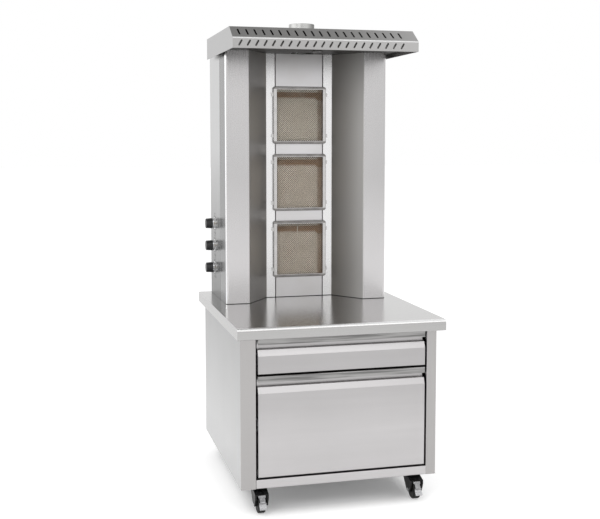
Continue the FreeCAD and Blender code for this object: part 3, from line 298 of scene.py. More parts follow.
def worktop_finish():
    """Worktop: a painted highlight along its rounded front edge, which is also rougher there."""
    sheet = Sheet("worktop sheet", 0.20, "X", 0.05)
    low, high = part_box("worktop")
    # Painted highlight: near white and rougher along the top of the rounded front edge.
    nose_highlight = sheet.between(sheet.z, high.z - 0.0075, high.z - 0.0045) * sheet.between(
        sheet.y, low.y + 0.0125, low.y + 0.0100)
    sheet.roughness = sheet.roughness + nose_highlight * 0.22
    return sheet.brushed(sheet.mix(nose_highlight, sheet.toned((0.50, 0.495, 0.49), 0.03), grey(1.0)))


def cabinet_side_finish():
    """Cabinet sides: painted shade, darker towards the top under the worktop and on the folded faces at the
    front.
    """
    sheet = Sheet("cabinet side sheet", 0.30, "Z")
    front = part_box("cabinet_left_side")[0].y
    colour = sheet.faded(sheet.toned(grey(0.64), 0.03), grey(0.41), start=0.20, end=0.64)
    # Painted shade on the folded faces at the front.
    folded_face_shade = sheet.between(sheet.y, front + 0.0012, front + 0.0006)
    return sheet.brushed(sheet.mix(folded_face_shade, colour, (0.475, 0.463, 0.458)))


def tower_side_finish():
    """Tower sides: painted shade, darker towards the foot, with the painted shade of the joint below them.
    """
    sheet = Sheet("tower side sheet", 0.30, "Z")
    colour = sheet.faded(sheet.toned(grey(0.57), 0.03), (0.17, 0.17, 0.168), start=1.25, end=0.70)
    return sheet.brushed(shaded_joint(sheet, colour))


worktop_steel = worktop_finish()
cabinet_side_sheet = cabinet_side_finish()
tower_side_sheet = tower_side_finish()
print("worktop and sides ready, joint at", round(tower_foot, 4))

# %% [markdown]
# ### Drawer fronts
# Each front is one sheet whose upper edge folds back into a full-width grip. The band at the top of
# each front, at the back of the grip, gets painted shade with streaks. The bands are found by their
# height, and one finish serves both drawers, as one sheet of steel would; painted shade makes the upper
# drawer a little darker than the lower one.

# %% Drawer fronts
def drawer_finish():
    between_drawers = (0.45, 0.27)
    sheet = Sheet("drawer steel", 0.305, "X")
    # Painted shade: the upper drawer gets a darker tone than the lower one.
    upper = sheet.clouded(sheet.cloud, (0.46, 0.449, 0.451), (0.51, 0.498, 0.500))
    lower = sheet.clouded(sheet.cloud, (0.56, 0.547, 0.549), (0.61, 0.596, 0.598))
    plain = sheet.mix(sheet.between(sheet.z, *between_drawers), upper, lower)
    # Painted shade with streaks, for the band at the back of each grip.
    streak = sheet.noise(1.0, 3.0, (5.0, 40.0, 160.0))
    grip_shade = sheet.mix(sheet.between(streak, 0.40, 0.60), (0.18, 0.178, 0.175), (0.38, 0.375, 0.37))
    tops = [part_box(node)[1].z for node in ("upper_drawer_front", "lower_drawer_front")]
    shaded_grip_bands = sum(sheet.band(sheet.z, (top - 0.0235, top - 0.0205), (top + 0.002, top + 0.001))
               for top in tops)
    return sheet.brushed(sheet.mix(shaded_grip_bands * 0.95, plain, grip_shade))


drawer_steel = drawer_finish()
print("drawer finish ready")

# %% [markdown]
# ### Mirror wings that have seen heat
# The slanted faces beside the burners throw the heat at the meat. Years of heat and smoke leave them
# darker and duller than the front faces, with a straw tint close to the burners. Each zone could be a
# piece with its own material, but a wing is one folded sheet. So the masks follow the distance from
# the middle: strip beside the burner with a painted highlight, mirror, front face painted lighter
# towards its foot, bend with a painted highlight, flank with painted shade.

# %% Wing steel
def wing_finish():
    strip_edge, mirror_edge, flank, soft = 0.135, 0.230, 0.322, 0.0015
    upper_part = (1.15, 0.80)
    finish = Finish("wing steel", Metallic=1.0)
    hair = finish.noise(1.0, 3.0, along("Z", 5.0, 700.0))
    wiped = finish.noise(2.6, 4.0, (1.0, 1.0, 0.5))
    away = finish.x.math("ABSOLUTE")
    # Painted light: the front faces get a lighter tone towards their foot.
    upper_front_tone = finish.clouded(wiped, (0.53, 0.520, 0.522), (0.59, 0.579, 0.581))
    foot = finish.clouded(wiped, (0.66, 0.646, 0.650), (0.72, 0.705, 0.709))
    colour = finish.mix(finish.between(finish.z, *upper_part), upper_front_tone, foot)
    # Painted highlight: the strip beside the burner is painted near white.
    strip_highlight = finish.between(away, strip_edge + soft, strip_edge - soft)
    colour = finish.mix(strip_highlight, colour, (0.84, 0.835, 0.835))
    mirror = finish.band(away, (mirror_edge + soft, mirror_edge - soft),
                         (strip_edge - soft, strip_edge + soft))
    towards_burner = finish.between(away, 0.215, strip_edge)
    smoky = finish.mix(towards_burner, (0.42, 0.412, 0.402), (0.25, 0.242, 0.232))
    colour = finish.mix(mirror, colour, smoky)
    # Painted shade on the flank.
    flank_shade = finish.between(away, flank - 0.0007, flank - 0.0002)
    colour = finish.mix(flank_shade * 0.9, colour, grey(0.17))
    # Painted highlight on the bend between flank and front.
    bend_highlight = finish.band(away, (flank - 0.0042, flank - 0.0030), (flank - 0.0004, flank - 0.0008))
    colour = finish.mix(bend_highlight, colour, grey(1.0))
    straw = towards_burner * mirror * finish.between(wiped, 0.4, 0.75)
    colour = finish.mix(straw * 0.3, colour, (0.34, 0.29, 0.23))
    roughness = 0.25 + hair * 0.03 + (wiped - 0.5) * 0.06 + mirror * 0.14
    return finish.done(shaded_joint(finish, colour), roughness, hair, 0.00001)


wing_steel = wing_finish()
print("wing finish ready")

# %% [markdown]
# ### Hood and infill plates
# The hood folds from an upright front into a slope that lies in its own shade, painted dark. Its fold
# gets a painted highlight, and its front is darker on the left than on the right. The infill plates
# around the burners stay bright, with a faint tint from the heat.

# %% Hood and infill steel
def hood_finish():
    finish = Finish("hood steel", Metallic=1.0)
    hair = finish.noise(1.0, 3.0, along("X", 6.0, 900.0))
    wiped = finish.noise(3.0, 4.0, (0.6, 1.0, 1.0))
    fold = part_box("hood_shell")[0].z + 0.0370
    ends = finish.clouded(wiped, grey(0.41), (0.46, 0.455, 0.455))
    darkened = finish.clouded(wiped, (0.33, 0.325, 0.32), (0.43, 0.425, 0.42))
    # Painted shade on the slope above the fold.
    slope = finish.clouded(wiped, (0.16, 0.157, 0.153), (0.25, 0.247, 0.242))
    darkened = finish.mix(finish.between(finish.z, fold - 0.001, fold + 0.002), darkened, slope)
    rightwards = finish.between(finish.x, 0.05, 0.33)
    darkened = finish.mix(rightwards * 0.75, darkened, (0.48, 0.475, 0.47))
    # Painted highlight along the fold.
    worn = finish.band(finish.z, (fold - 0.004, fold - 0.002), (fold + 0.003, fold + 0.001))
    darkened = finish.mix(worn * 0.6, darkened, grey(0.95))
    end_faces = 0.3448
    front = finish.between(finish.x.math("ABSOLUTE"), end_faces, end_faces - 0.0008)
    roughness = 0.27 + hair * 0.06 + (wiped - 0.5) * 0.06
    return finish.done(finish.mix(front, ends, darkened), roughness, hair, 0.00002)


def heated_finish():
    finish = Finish("heated bright steel", Metallic=1.0)
    hair = finish.noise(1.0, 3.0, along("Z", 6.0, 600.0))
    wiped = finish.noise(7.0, 4.0)
    colour = finish.mix(finish.between(wiped, 0.35, 0.75), (0.68, 0.67, 0.68), (0.62, 0.605, 0.60))
    return finish.done(shaded_joint(finish, colour), 0.24 + hair * 0.06 + wiped * 0.06, hair, 0.00001)


hood_steel = hood_finish()
heated_steel = heated_finish()
print("hood and infill ready")

# %% [markdown]
# ### Chrome, zinc, brass and drawn tube
# Small metal pieces differ mostly in colour and in how polished they are, so one function with a few
# numbers serves nearly all. It gives them faint clouds and a fine grain. Zinc shows crystal flakes,
# which are the cells of a Voronoi texture.

# %% Small metals
def plain_metal(name, tone, rough, scale=30.0, spread=0.12, depth=0.00005):
    finish = Finish(name, Metallic=1.0)
    cloud = finish.noise(scale, 4.0)
    grain = finish.noise(scale * 20.0)
    colour = finish.clouded(cloud, [channel * (1.0 - spread) for channel in tone], tone)
    return finish.done(colour, rough + (cloud - 0.5) * 0.14 + (grain - 0.5) * 0.05, grain, depth)


def zinc_finish():
    finish = Finish("zinc plate", Metallic=1.0)
    cells = finish.node("ShaderNodeTexVoronoi", {"Vector": finish.place, "Scale": 90.0}, out="Color")
    flake = finish.node("ShaderNodeSeparateColor", {"Color": cells})
    cloud = finish.noise(20.0, 3.0)
    colour = finish.mix(flake * 0.6 + cloud * 0.4, (0.42, 0.43, 0.45), (0.62, 0.63, 0.65))
    return finish.done(colour, 0.32 + flake * 0.12, cloud, 0.00005)


chrome = plain_metal("chrome plate", (0.80, 0.80, 0.81), 0.10, 60.0, 0.06, 0.00002)
pedal_plate = plain_metal("worn pedal plate", (0.40, 0.40, 0.41), 0.24, 160.0, 0.35, 0.00008)
bezel_steel = plain_metal("satin bezel", grey(0.93), 0.50, 60.0, 0.05)
turned_steel = plain_metal("turned steel", grey(0.60), 0.24)
smoked_steel = plain_metal("smoked turned steel", (0.16, 0.155, 0.15), 0.34)
brass = plain_metal("turned brass", (0.72, 0.56, 0.28), 0.25)
drawn_tube = plain_metal("drawn tube", (0.70, 0.70, 0.71), 0.30)
zinc = zinc_finish()
print("small metals ready")

# %% [markdown]
# ### Enamel, paint, plastic and rubber
# These are not metals, so their colour comes from Base Color and their shine from roughness. Each has
# a fine bump at its own scale: orange peel for paint, a fine mould texture for plastic and scuffed
# grain for rubber.

# %% Painted and moulded finishes
def coated(name, dark, light, rough, peel, depth, wear_scale=12.0, shine=0.5):
    """Two tones, the roughness, then the scale and depth of the skin and the scale of the wear."""
    finish = Finish(name, Specular_IOR_Level=shine)
    skin = finish.noise(peel)
    wear = finish.noise(wear_scale, 5.0)
    colour = finish.mix(finish.between(wear, 0.35, 0.75), dark, light)
    return finish.done(colour, rough + (wear - 0.5) * 0.2 + (skin - 0.5) * 0.06, skin, depth)


knob_black = coated("knob black", (0.012, 0.012, 0.013), (0.022, 0.022, 0.024), 0.34, 900.0, 0.00005)
castor_black = coated("castor black", grey(0.004), (0.012, 0.012, 0.013), 0.30, 400.0, 0.00008, 40.0, 0.25)
rubber = coated("wheel rubber", grey(0.006), (0.018, 0.018, 0.017), 0.52, 700.0, 0.0001, 50.0, 0.25)
# Painted shade: the deck under the hood is nearly black, for the shade in the hollow there.
deck_in_shade = coated("smoked deck", (0.010, 0.009, 0.008), (0.030, 0.028, 0.025), 0.6, 300.0, 0.00005, 8.0)
gland_black = coated("gland black", grey(0.02), grey(0.04), 0.45, 600.0, 0.00006)
motor_grey = coated("motor grey", (0.10, 0.105, 0.11), (0.16, 0.165, 0.17), 0.42, 300.0, 0.0001, 20.0)
casing_enamel = coated("burner casing enamel", (0.05, 0.040, 0.033), (0.11, 0.085, 0.065), 0.55, 250.0,
                       0.00015, 30.0)
# Printed marks for the dials, and also the painted shade of the screw recesses.
ink_and_recess_shade = coated("printed marks", grey(0.02), grey(0.04), 0.6, 500.0, 0.00001, shine=0.05)
pointer_white = coated("knob pointer", (0.70, 0.70, 0.68), (0.80, 0.80, 0.78), 0.5, 500.0, 0.00001)
print("coated finishes ready")

# %% [markdown]
# ### Ceramic plaques and the wire in front of them
# An infrared burner glows through ceramic plaques pierced with hundreds of tiny holes. The plaques
# are pinkish beige. Heat stains them and the wire brown towards the top and the right of each burner,
# and painted shade darkens those edges too. The top burner is painted lighter, against the shade of
# the hood above it. The holes are a round dot pattern: painted shade darkens the colour in each dot,
# and the bump dents there, far cheaper than real holes.

# %% Plaque and wire finishes
tile_half, tile_drop = 0.088, 0.010
tile_centres = [middle(box).z - tile_drop for box in gauze_boxes.values()]
hole_pitch = 0.0024
below_top_burner = (1.24, 1.28)


def scorch_and_shade_mask(finish, cloud):
    """Brown heat stain and painted shade with a ragged edge, over each burner's own rectangle."""
    edge = finish.between(finish.x, 0.066, 0.080) * 0.8
    for centre in tile_centres:
        rise = finish.z - centre
        near_top = finish.between(rise, tile_half - 0.020, tile_half - 0.004)
        edge = edge + near_top * finish.between(rise.math("ABSOLUTE"), tile_half + 0.014, tile_half + 0.013)
    return finish.between(edge + (cloud - 0.5) * 0.5, 0.35, 1.0)


def plaque_finish():
    finish = Finish("ceramic plaque")
    turns = 2.0 * math.pi / hole_pitch
    dots = (finish.x * turns).math("COSINE") * (finish.z * turns).math("COSINE")
    # Each dot stands for a hole; its dark colour is painted shade.
    hole_shade = finish.between(dots, 0.25, 0.75)
    cloud = finish.noise(16.0, 5.0)
    speck = finish.between(finish.noise(300.0, 3.0), 0.45, 0.8)
    # Painted light: the top burner is lighter, against the shade of the hood above it.
    top_burner_lift = finish.between(finish.z, *below_top_burner)
    tone = finish.clouded(cloud, (0.18, 0.145, 0.11), (0.28, 0.23, 0.175))
    tone = finish.mix(speck * 0.3, tone, (0.36, 0.27, 0.20))
    tone = finish.mix(top_burner_lift * 0.7, tone, (0.50, 0.42, 0.33))
    tone = finish.mix(scorch_and_shade_mask(finish, cloud), tone, (0.15, 0.085, 0.045))
    tone = finish.mix(hole_shade * 0.75, tone, (0.05, 0.035, 0.025))
    return finish.done(tone, 0.85 - hole_shade * 0.1, 1.0 - hole_shade, 0.0004)


def wire_finish():
    finish = Finish("heat tinted wire", Metallic=0.25)
    cloud = finish.noise(16.0, 5.0)
    # Painted light: the wire of the top burner is lighter, against the hood's shade.
    top_burner_lift = finish.between(finish.z, *below_top_burner)
    colour = finish.clouded(cloud, (0.90, 0.81, 0.69), (0.98, 0.90, 0.79))
    colour = finish.mix(top_burner_lift, colour, (1.0, 0.94, 0.83))
    colour = finish.mix(scorch_and_shade_mask(finish, cloud) * 0.85, colour, (0.42, 0.26, 0.15))
    return finish.done(colour, 0.42 + (cloud - 0.5) * 0.2, finish.noise(600.0), 0.00003)


plaque = plaque_finish()
gauze_wire = wire_finish()
print("plaque centres", [round(centre, 3) for centre in tile_centres])

# %% [markdown]
# ### Guards, thermocouples and flue
# Heat leaves its mark on the thermocouples: each is blackened but for its tip in the flame. The
# guard's upright bars are bright and its cross bars darker. The flue ring's right side is painted dark,
# a painted reflection of the darker surroundings on that side.

# %% Guard, thermocouple and flue finishes
def guard_finish():
    finish = Finish("guard steel", Metallic=1.0)
    cloud = finish.noise(30.0, 4.0)
    upright = sum(finish.band(finish.z, (low.z + 0.004, low.z + 0.006), (high.z - 0.004, high.z - 0.006))
                  for low, high in gauze_boxes.values())
    bright = finish.clouded(cloud, (0.56, 0.55, 0.545), (0.64, 0.63, 0.62))
    # The cross bars get a darker tone than the uprights.
    cross_bar_tone = finish.clouded(cloud, (0.20, 0.19, 0.185), (0.30, 0.29, 0.28))
    return finish.done(finish.mix(upright, cross_bar_tone, bright), 0.24 + (cloud - 0.5) * 0.12, cloud, 0.00003)


def probe_finish():
    finish = Finish("thermocouple sheath", Metallic=0.8)
    cloud = finish.noise(120.0, 3.0)
    tips = sum(finish.band(finish.z, (high.z - 0.0175, high.z - 0.0185), (low.z, low.z + 0.001))
               for low, high in gauze_boxes.values())
    light = finish.mix(cloud, (0.55, 0.50, 0.44), (0.75, 0.70, 0.62))
    colour = finish.mix(tips, (0.10, 0.085, 0.07), light)
    return finish.done(colour, 0.42 + (cloud - 0.5) * 0.2, cloud, 0.00002)


def flue_finish():
    finish = Finish("flue steel", Metallic=1.0)
    cloud = finish.noise(40.0, 4.0)
    bright = finish.mix(cloud, (0.42, 0.42, 0.41), (0.60, 0.60, 0.59))
    # Painted reflection: the right side of the polished ring is painted dark.
    darkened = finish.between(finish.x, 0.012, 0.046)
    colour = finish.mix(darkened, bright, (0.07, 0.068, 0.065))
    return finish.done(colour, 0.26 + (cloud - 0.5) * 0.12, cloud, 0.00003)


guard_steel = guard_finish()
probe_steel = probe_finish()
flue_steel = flue_finish()
print("guards, thermocouples and flue ready")

# %% [markdown]
# ## Sheet metal with soft bends
# The solids arrive as loose triangles, so a folded corner looks like a row of flat strips. A copy of
# the mesh is merged into one skin, its faces are smoothed, and only edges sharper than a set angle
# stay hard. Weighted normals then keep the flat faces perfectly flat beside the bends.

# %% Smooth copies of the solids
def smooth_copy(node, material, angle=32.0):
    """A merged, smooth-shaded copy that stands for a node and rides on its body."""
    mesh = frame["nodes"][node].data.copy()
    mesh.materials.clear()
    mesh.materials.append(material)
    skin = bmesh.new()
    skin.from_mesh(mesh)
    bmesh.ops.remove_doubles(skin, verts=skin.verts, dist=2e-6)
    bmesh.ops.dissolve_degenerate(skin, edges=skin.edges, dist=1e-7)
    for edge in skin.edges:
        edge.smooth = len(edge.link_faces) == 2 and edge.calc_face_angle(0.0) <= math.radians(angle)
    for face in skin.faces:
        face.smooth = True
        face.material_index = 0
    skin.to_mesh(mesh)
    skin.free()
    mesh.name = node + "_skin"
    piece = new_object(node + "_skin", mesh)
    weights = piece.modifiers.new("flat faces", "WEIGHTED_NORMAL")
    weights.keep_sharp = True
    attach(piece, body_of_node[node])
    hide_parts(node)
    return piece


folded = {
    "worktop": worktop_steel, "cabinet_left_side": cabinet_side_sheet,
    "cabinet_right_side": cabinet_side_sheet, "cabinet_bottom_rail": rail_sheet,
    "upper_drawer_front": drawer_steel, "lower_drawer_front": drawer_steel,
    "left_wing": wing_steel, "right_wing": wing_steel,
    "tower_left_side": tower_side_sheet, "tower_right_side": tower_side_sheet,
    "hood_shell": hood_steel, "infill_plates": heated_steel, "flue_collar": flue_steel,
    **{"burner_guard_" + level: guard_steel for level in levels},
    "gas_manifold": drawn_tube, "gas_taps": brass, "gas_injectors": brass, "gas_pipes": drawn_tube,
    "thermocouples": probe_steel, "knob_bezels": bezel_steel, "drive_socket": smoked_steel,
    "cable_gland": gland_black, "spit_gearmotor": motor_grey, "burner_casings": casing_enamel,
    **{"tap_stem_" + level: brass for level in levels},
    "brake_pedal_front_left": pedal_plate, "brake_pedal_front_right": pedal_plate,
    "castor_plates": zinc, "assembly_screws": zinc,
}
for node, material in folded.items():
    smooth_copy(node, material)
print(len(folded), "folded or round pieces")

# %% [markdown]
# Flat pieces need no smoothing. They keep their own mesh and only get a finish.

# %% Flat pieces
def paint(node, material):
    """Give a solid that keeps its own mesh its finish."""
    target = frame["nodes"][node]
    if not target.material_slots:
        target.data.materials.append(material)
    for holder in target.material_slots:
        holder.material = material


flat = {
    "cabinet_floor": inner_sheet, "cabinet_back": back_sheet, "cabinet_top_rails": inner_sheet,
    "upper_drawer_tray": inner_sheet, "lower_drawer_tray": inner_sheet,
    "upper_inner_members": zinc, "lower_inner_members": zinc, "upper_middle_members": zinc,
    "lower_middle_members": zinc, "runner_rails": zinc,
    "tower_back_cover": back_sheet, "hood_deck": deck_in_shade, "burner_tiles": plaque,
}
for node, material in flat.items():
    paint(node, material)
print(len(flat), "flat pieces")

# %% [markdown]
# ## Castors
# A castor wheel is one rubber tyre on a black hub. The fork is pressed steel, stoved black, and the
# heads of the axle are left bright. One piece can carry two finishes: its faces are sorted by place.

# %% Two finishes on one piece
def second_finish(piece, material, test):
    """Faces whose centre passes the test get the second material."""
    piece.data.materials.append(material)
    index = len(piece.data.materials) - 1
    chosen = [face for face in piece.data.polygons if test(face.center)]
    for face in chosen:
        face.material_index = index
    return len(chosen)


def dress_castor(corner, hub_radius=0.0104, head_radius=0.008, head_depth=0.003):
    wheel = smooth_copy("castor_wheel_" + corner, rubber)
    hub = middle(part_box("castor_wheel_" + corner))
    low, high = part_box("castor_fork_" + corner)

    def from_axle(centre):
        return math.hypot(centre.y - hub.y, centre.z - hub.z)

    def is_head(centre):
        outside = centre.x < low.x + head_depth or centre.x > high.x - head_depth
        return outside and from_axle(centre) < head_radius

    black = second_finish(wheel, castor_black, lambda centre: from_axle(centre) < hub_radius)
    fork = smooth_copy("castor_fork_" + corner, castor_black)
    bright = second_finish(fork, chrome, is_head)
    print(corner, black, "hub faces", bright, "bright faces")


for corner in ("front_left", "front_right", "rear_left", "rear_right"):
    dress_castor(corner)

# %% [markdown]
# ## Knobs
# Each knob is black plastic with a bright metal skirt against the panel. The skirt is the part of the
# knob nearest the panel, so its faces are found by their distance from it.

# %% Knobs with bright skirts
skirt_depth = 0.0062
for level, (low, high) in knob_boxes.items():
    knob = smooth_copy("knob_" + level, knob_black, 40.0)
    count = second_finish(knob, chrome, lambda centre: centre.x > high.x - skirt_depth)
    print(level, "knob", count, "skirt faces")

# %% [markdown]
# A raised white pointer on the knob's edge shows where it stands. It is a thin wedge that follows the
# cone of the grip from the skirt to its end. Eight corners are few enough to be written down as a list.

# %% Pointers
def turn_outwards(mesh, smooth):
    """Let every face look outwards, and shade them all smooth or all flat."""
    skin = bmesh.new()
    skin.from_mesh(mesh)
    bmesh.ops.recalc_face_normals(skin, faces=skin.faces)
    for face in skin.faces:
        face.smooth = smooth
    skin.to_mesh(mesh)
    skin.free()


def mesh_piece(name, verts, faces, material, body):
    """A flat-shaded piece from plain lists of corners and faces."""
    mesh = bpy.data.meshes.new(name)
    mesh.from_pydata(verts, [], faces)
    mesh.materials.append(material)
    turn_outwards(mesh, False)
    piece = new_object(name, mesh)
    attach(piece, body)


block_faces = [(0, 1, 2, 3), (7, 6, 5, 4), (0, 4, 5, 1), (1, 5, 6, 2), (2, 6, 7, 3), (3, 7, 4, 0)]


def pointer_corners(box, half_width=0.0007, sunk=0.0008, proud=0.0004):
    """Four corners at the skirt, then four at the end of the grip."""
    place = middle(box)
    corners = []
    for x, radius in ((box[1].x - skirt_depth, 0.02115), (box[0].x + 0.0026, 0.01945)):
        for side, rise in ((-1, -sunk), (1, -sunk), (1, proud), (-1, proud)):
            corners.append((x, place.y + side * half_width, place.z + radius + rise))
    return corners


for level, box in knob_boxes.items():
    mesh_piece("pointer_" + level, pointer_corners(box), block_faces, pointer_white, level + "_knob")
print("pointers ready")

# %% [markdown]
# ## Geometry Nodes for what repeats
# The gauze, the dial ticks, the louvres, the screws, the fins of the motor and the runner balls all
# repeat. Each comes from a tree that is built here, with named inputs.

# %% Geometry trees
class GrowTree(Board):
    """A geometry node tree. Its named inputs are the wires in given."""

    def __init__(self, name, **inputs):
        tree = bpy.data.node_groups.new(name, "GeometryNodeTree")
        super().__init__(tree)
        for key, value in inputs.items():
            kind = "NodeSocketInt" if isinstance(value, int) else "NodeSocketFloat"
            socket = tree.interface.new_socket(name=key, in_out="INPUT", socket_type=kind)
            socket.default_value = value
        tree.interface.new_socket(name="Geometry", in_out="OUTPUT", socket_type="NodeSocketGeometry")
        sources = tree.nodes.new("NodeGroupInput").outputs
        self.given = {key: Wire(self, sources[key]) for key in inputs}
        self.output = tree.nodes.new("NodeGroupOutput")

    def vector(self, x=0.0, y=0.0, z=0.0):
        return self.node("ShaderNodeCombineXYZ", {0: x, 1: y, 2: z})

    def here(self):
        """The X, Y and Z of each point."""
        return self.split(self.node("GeometryNodeInputPosition"))

    def join(self, *shapes):
        joined = self.node("GeometryNodeJoinGeometry")
        for shape in shapes:
            self.link(shape, joined.socket.node.inputs[0])
        return joined

    def on_points(self, points, shape, **more):
        return self.node("GeometryNodeInstanceOnPoints", {"Points": points, "Instance": shape, **more})

    def row(self, shape, count, step, start=(0.0, 0.0, 0.0)):
        """Copies of a shape in a straight row."""
        line = self.node("GeometryNodeMeshLine", {"Count": count, "Start Location": start, "Offset": step})
        return self.on_points(line, shape)

    def finish_with(self, geometry, material):
        solid = self.node("GeometryNodeRealizeInstances", {"Geometry": geometry})
        painted = self.node("GeometryNodeSetMaterial", {"Geometry": solid, "Material": material})
        self.link(painted, self.output.inputs[0])
        return self.tree


print("geometry trees ready")

# %% [markdown]
# The helper below runs a tree once, keeps the result as a plain mesh and puts it on its body. The
# tree could stay on the piece as a modifier, but a plain mesh is the same wherever it is read.

# %% Running a geometry tree
def grow(name, tree, body, slot, smooth, place, **values):
    """Evaluate a tree into a plain mesh piece that rides on a body."""
    piece = new_object(name, bpy.data.meshes.new(name + "_seed"))
    modifier = piece.modifiers.new("grow", "NODES")
    modifier.node_group = tree
    for item in tree.interface.items_tree:
        if item.in_out == "INPUT" and item.name in values:
            modifier[item.identifier] = values[item.name]
    bpy.context.view_layer.update()
    ready = piece.evaluated_get(bpy.context.evaluated_depsgraph_get())
    mesh = bpy.data.meshes.new_from_object(ready)
    piece.modifiers.clear()
    mesh.transform(place)
    turn_outwards(mesh, smooth)
    mesh.name = name
    piece.data = mesh
    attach(piece, body)
    print(name, len(mesh.polygons), "faces")
    return piece


print("tree runner ready")

# %% [markdown]
# ### Woven gauze
# The net in front of each burner is woven at 45 degrees. Start points stand along the edges of the
# frame, each is pulled into a straight wire that ends at the far edge, and a cosine along the width
# makes the wires pass over and under each other. A thin profile swept along them gives round wire.

# %% Gauze tree
def gauze_tree(material):
    board = GrowTree("woven gauze", Width=0.19, Height=0.21, Pitch=0.0056, Wire=0.0009, Count=67)
    width, height, pitch, wire, count = board.given.values()
    diagonal, shortest = math.sqrt(2.0), 0.004
    families = []
    for lean in (1.0, -1.0):
        index = board.node("GeometryNodeInputIndex")
        level = (index - (count - 1) / 2) * pitch * diagonal
        start = (width * -0.5).math("MAXIMUM", level - height * 0.5)
        run = (width * 0.5).math("MINIMUM", level + height * 0.5) - start
        points = board.node("GeometryNodePoints", {
            "Count": count, "Position": board.vector(start, 0.0, (level - start) * lean)})
        thread = board.node("GeometryNodeCurvePrimitiveLine", {"End": (1.0, 0.0, -lean)})
        strung = board.on_points(points, thread, Selection=run.math("GREATER_THAN", shortest),
                                 Scale=board.vector(run, run, run))
        straight = board.node("GeometryNodeRealizeInstances", {"Geometry": strung})
        fine = board.node("GeometryNodeResampleCurve", {"Curve": straight, "Length": pitch / 3},
                          mode="LENGTH")
        swing = (board.here()[0] * (math.pi * diagonal) / pitch).math("COSINE")
        families.append(board.node("GeometryNodeSetPosition", {
            "Geometry": fine, "Offset": board.vector(0.0, swing * wire * lean, 0.0)}))
    ring = board.node("GeometryNodeCurvePrimitiveCircle", {"Resolution": 4, "Radius": wire})
    round_wire = board.node("GeometryNodeCurveToMesh", {
        "Curve": board.join(*families), "Profile Curve": ring, "Fill Caps": True})
    return board.finish_with(round_wire, material)


net = gauze_tree(gauze_wire)
net_margin = 0.001
for level, box in gauze_boxes.items():
    size = box[1] - box[0]
    piece = grow("gauze_" + level, net, "grill_frame", "gauze_wire", True,
                 Matrix.Translation(middle(box)), Width=size.x - net_margin, Height=size.z - net_margin)
    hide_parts("burner_gauze_" + level)

# %% [markdown]
# ### Dial marks beside the knobs
# A gas knob is read against printed marks: a ring of ticks, a dot for off, and a large and a small
# flame. The ticks are instances on an arc, turned to point at the centre.

# %% Tick tree
def tick_tree(material):
    board = GrowTree("dial ticks", Radius=0.0300, Length=0.0060, Thickness=0.0026, Depth=0.0004, Count=11)
    radius, length, thickness, depth, count = board.given.values()
    arc = board.node("GeometryNodeCurveArc", {
        "Resolution": count, "Radius": radius, "Start Angle": math.radians(-60.0),
        "Sweep Angle": math.radians(300.0)})
    tick = board.node("GeometryNodeMeshCube", {"Size": board.vector(length, thickness, depth)})
    x_here, y_here = board.here()[:2]
    turn = board.vector(z=y_here.math("ARCTAN2", x_here))
    return board.finish_with(board.on_points(arc, tick, Rotation=turn), material)


dial = tick_tree(ink_and_recess_shade)
facing_left = Matrix(((0, 0, -1, 0), (1, 0, 0, 0), (0, 1, 0, 0), (0, 0, 0, 1)))
for level, place in knob_places.items():
    at_panel = Matrix.Translation((side_x - 0.0001, place.y, place.z)) @ facing_left
    grow("dial_ticks_" + level, dial, "grill_frame", "knob_black", False, at_panel)

# %% [markdown]
# The flames and the dot are outlines of a few points each, with a hair of thickness. A curve object
# would do as well, but a ring of points from sine and cosine is shorter to write and easy to check.

# %% Flames and dots
def flame(y, z, size, steps=14):
    """Outline of a flame on the panel: a drop with a narrow tip."""
    ring = []
    for step in range(steps):
        turn = 2 * math.pi * step / steps
        lift = math.cos(turn)
        wide = math.sin(turn) * (1.0 - 0.55 * max(lift, 0.0))
        ring.append((side_x, y + size * 0.55 * wide, z + size * lift * (1.3 if lift > 0 else 0.75)))
    return ring


def dot(y, z, radius, steps=12):
    turns = [2 * math.pi * step / steps for step in range(steps)]
    return [(side_x, y + radius * math.cos(turn), z + radius * math.sin(turn)) for turn in turns]


def plate_from_rings(rings, depth):
    """Thin plates with the given outlines, standing out to the left."""
    verts, faces = [], []
    for ring in rings:
        base, count = len(verts), len(ring)
        verts += ring + [(x - depth, y, z) for x, y, z in ring]
        faces.append(tuple(range(base, base + count)))
        faces.append(tuple(range(base + 2 * count - 1, base + count - 1, -1)))
        for step in range(count):
            after = (step + 1) % count
            faces.append((base + step, base + count + step, base + count + after, base + after))
    return verts, faces


flames_below, dot_above = 0.0400, 0.0390
for level, place in knob_places.items():
    rings = [flame(place.y - 0.012, place.z - flames_below, size=0.0062),
             flame(place.y + 0.013, place.z - flames_below, size=0.0040),
             dot(place.y, place.z + dot_above, radius=0.0032)]
    verts, faces = plate_from_rings(rings, depth=0.0002)
    mesh_piece("dial_signs_" + level, verts, faces, ink_and_recess_shade, "grill_frame")
print("dial signs ready")

# %% [markdown]
# ### Louvres on the back cover
# Warm air leaves the tower through slots in the back. Each slot has a pressed hood that keeps rain and
# fingers out: a quarter round swept along the slot, with its mouth looking down.

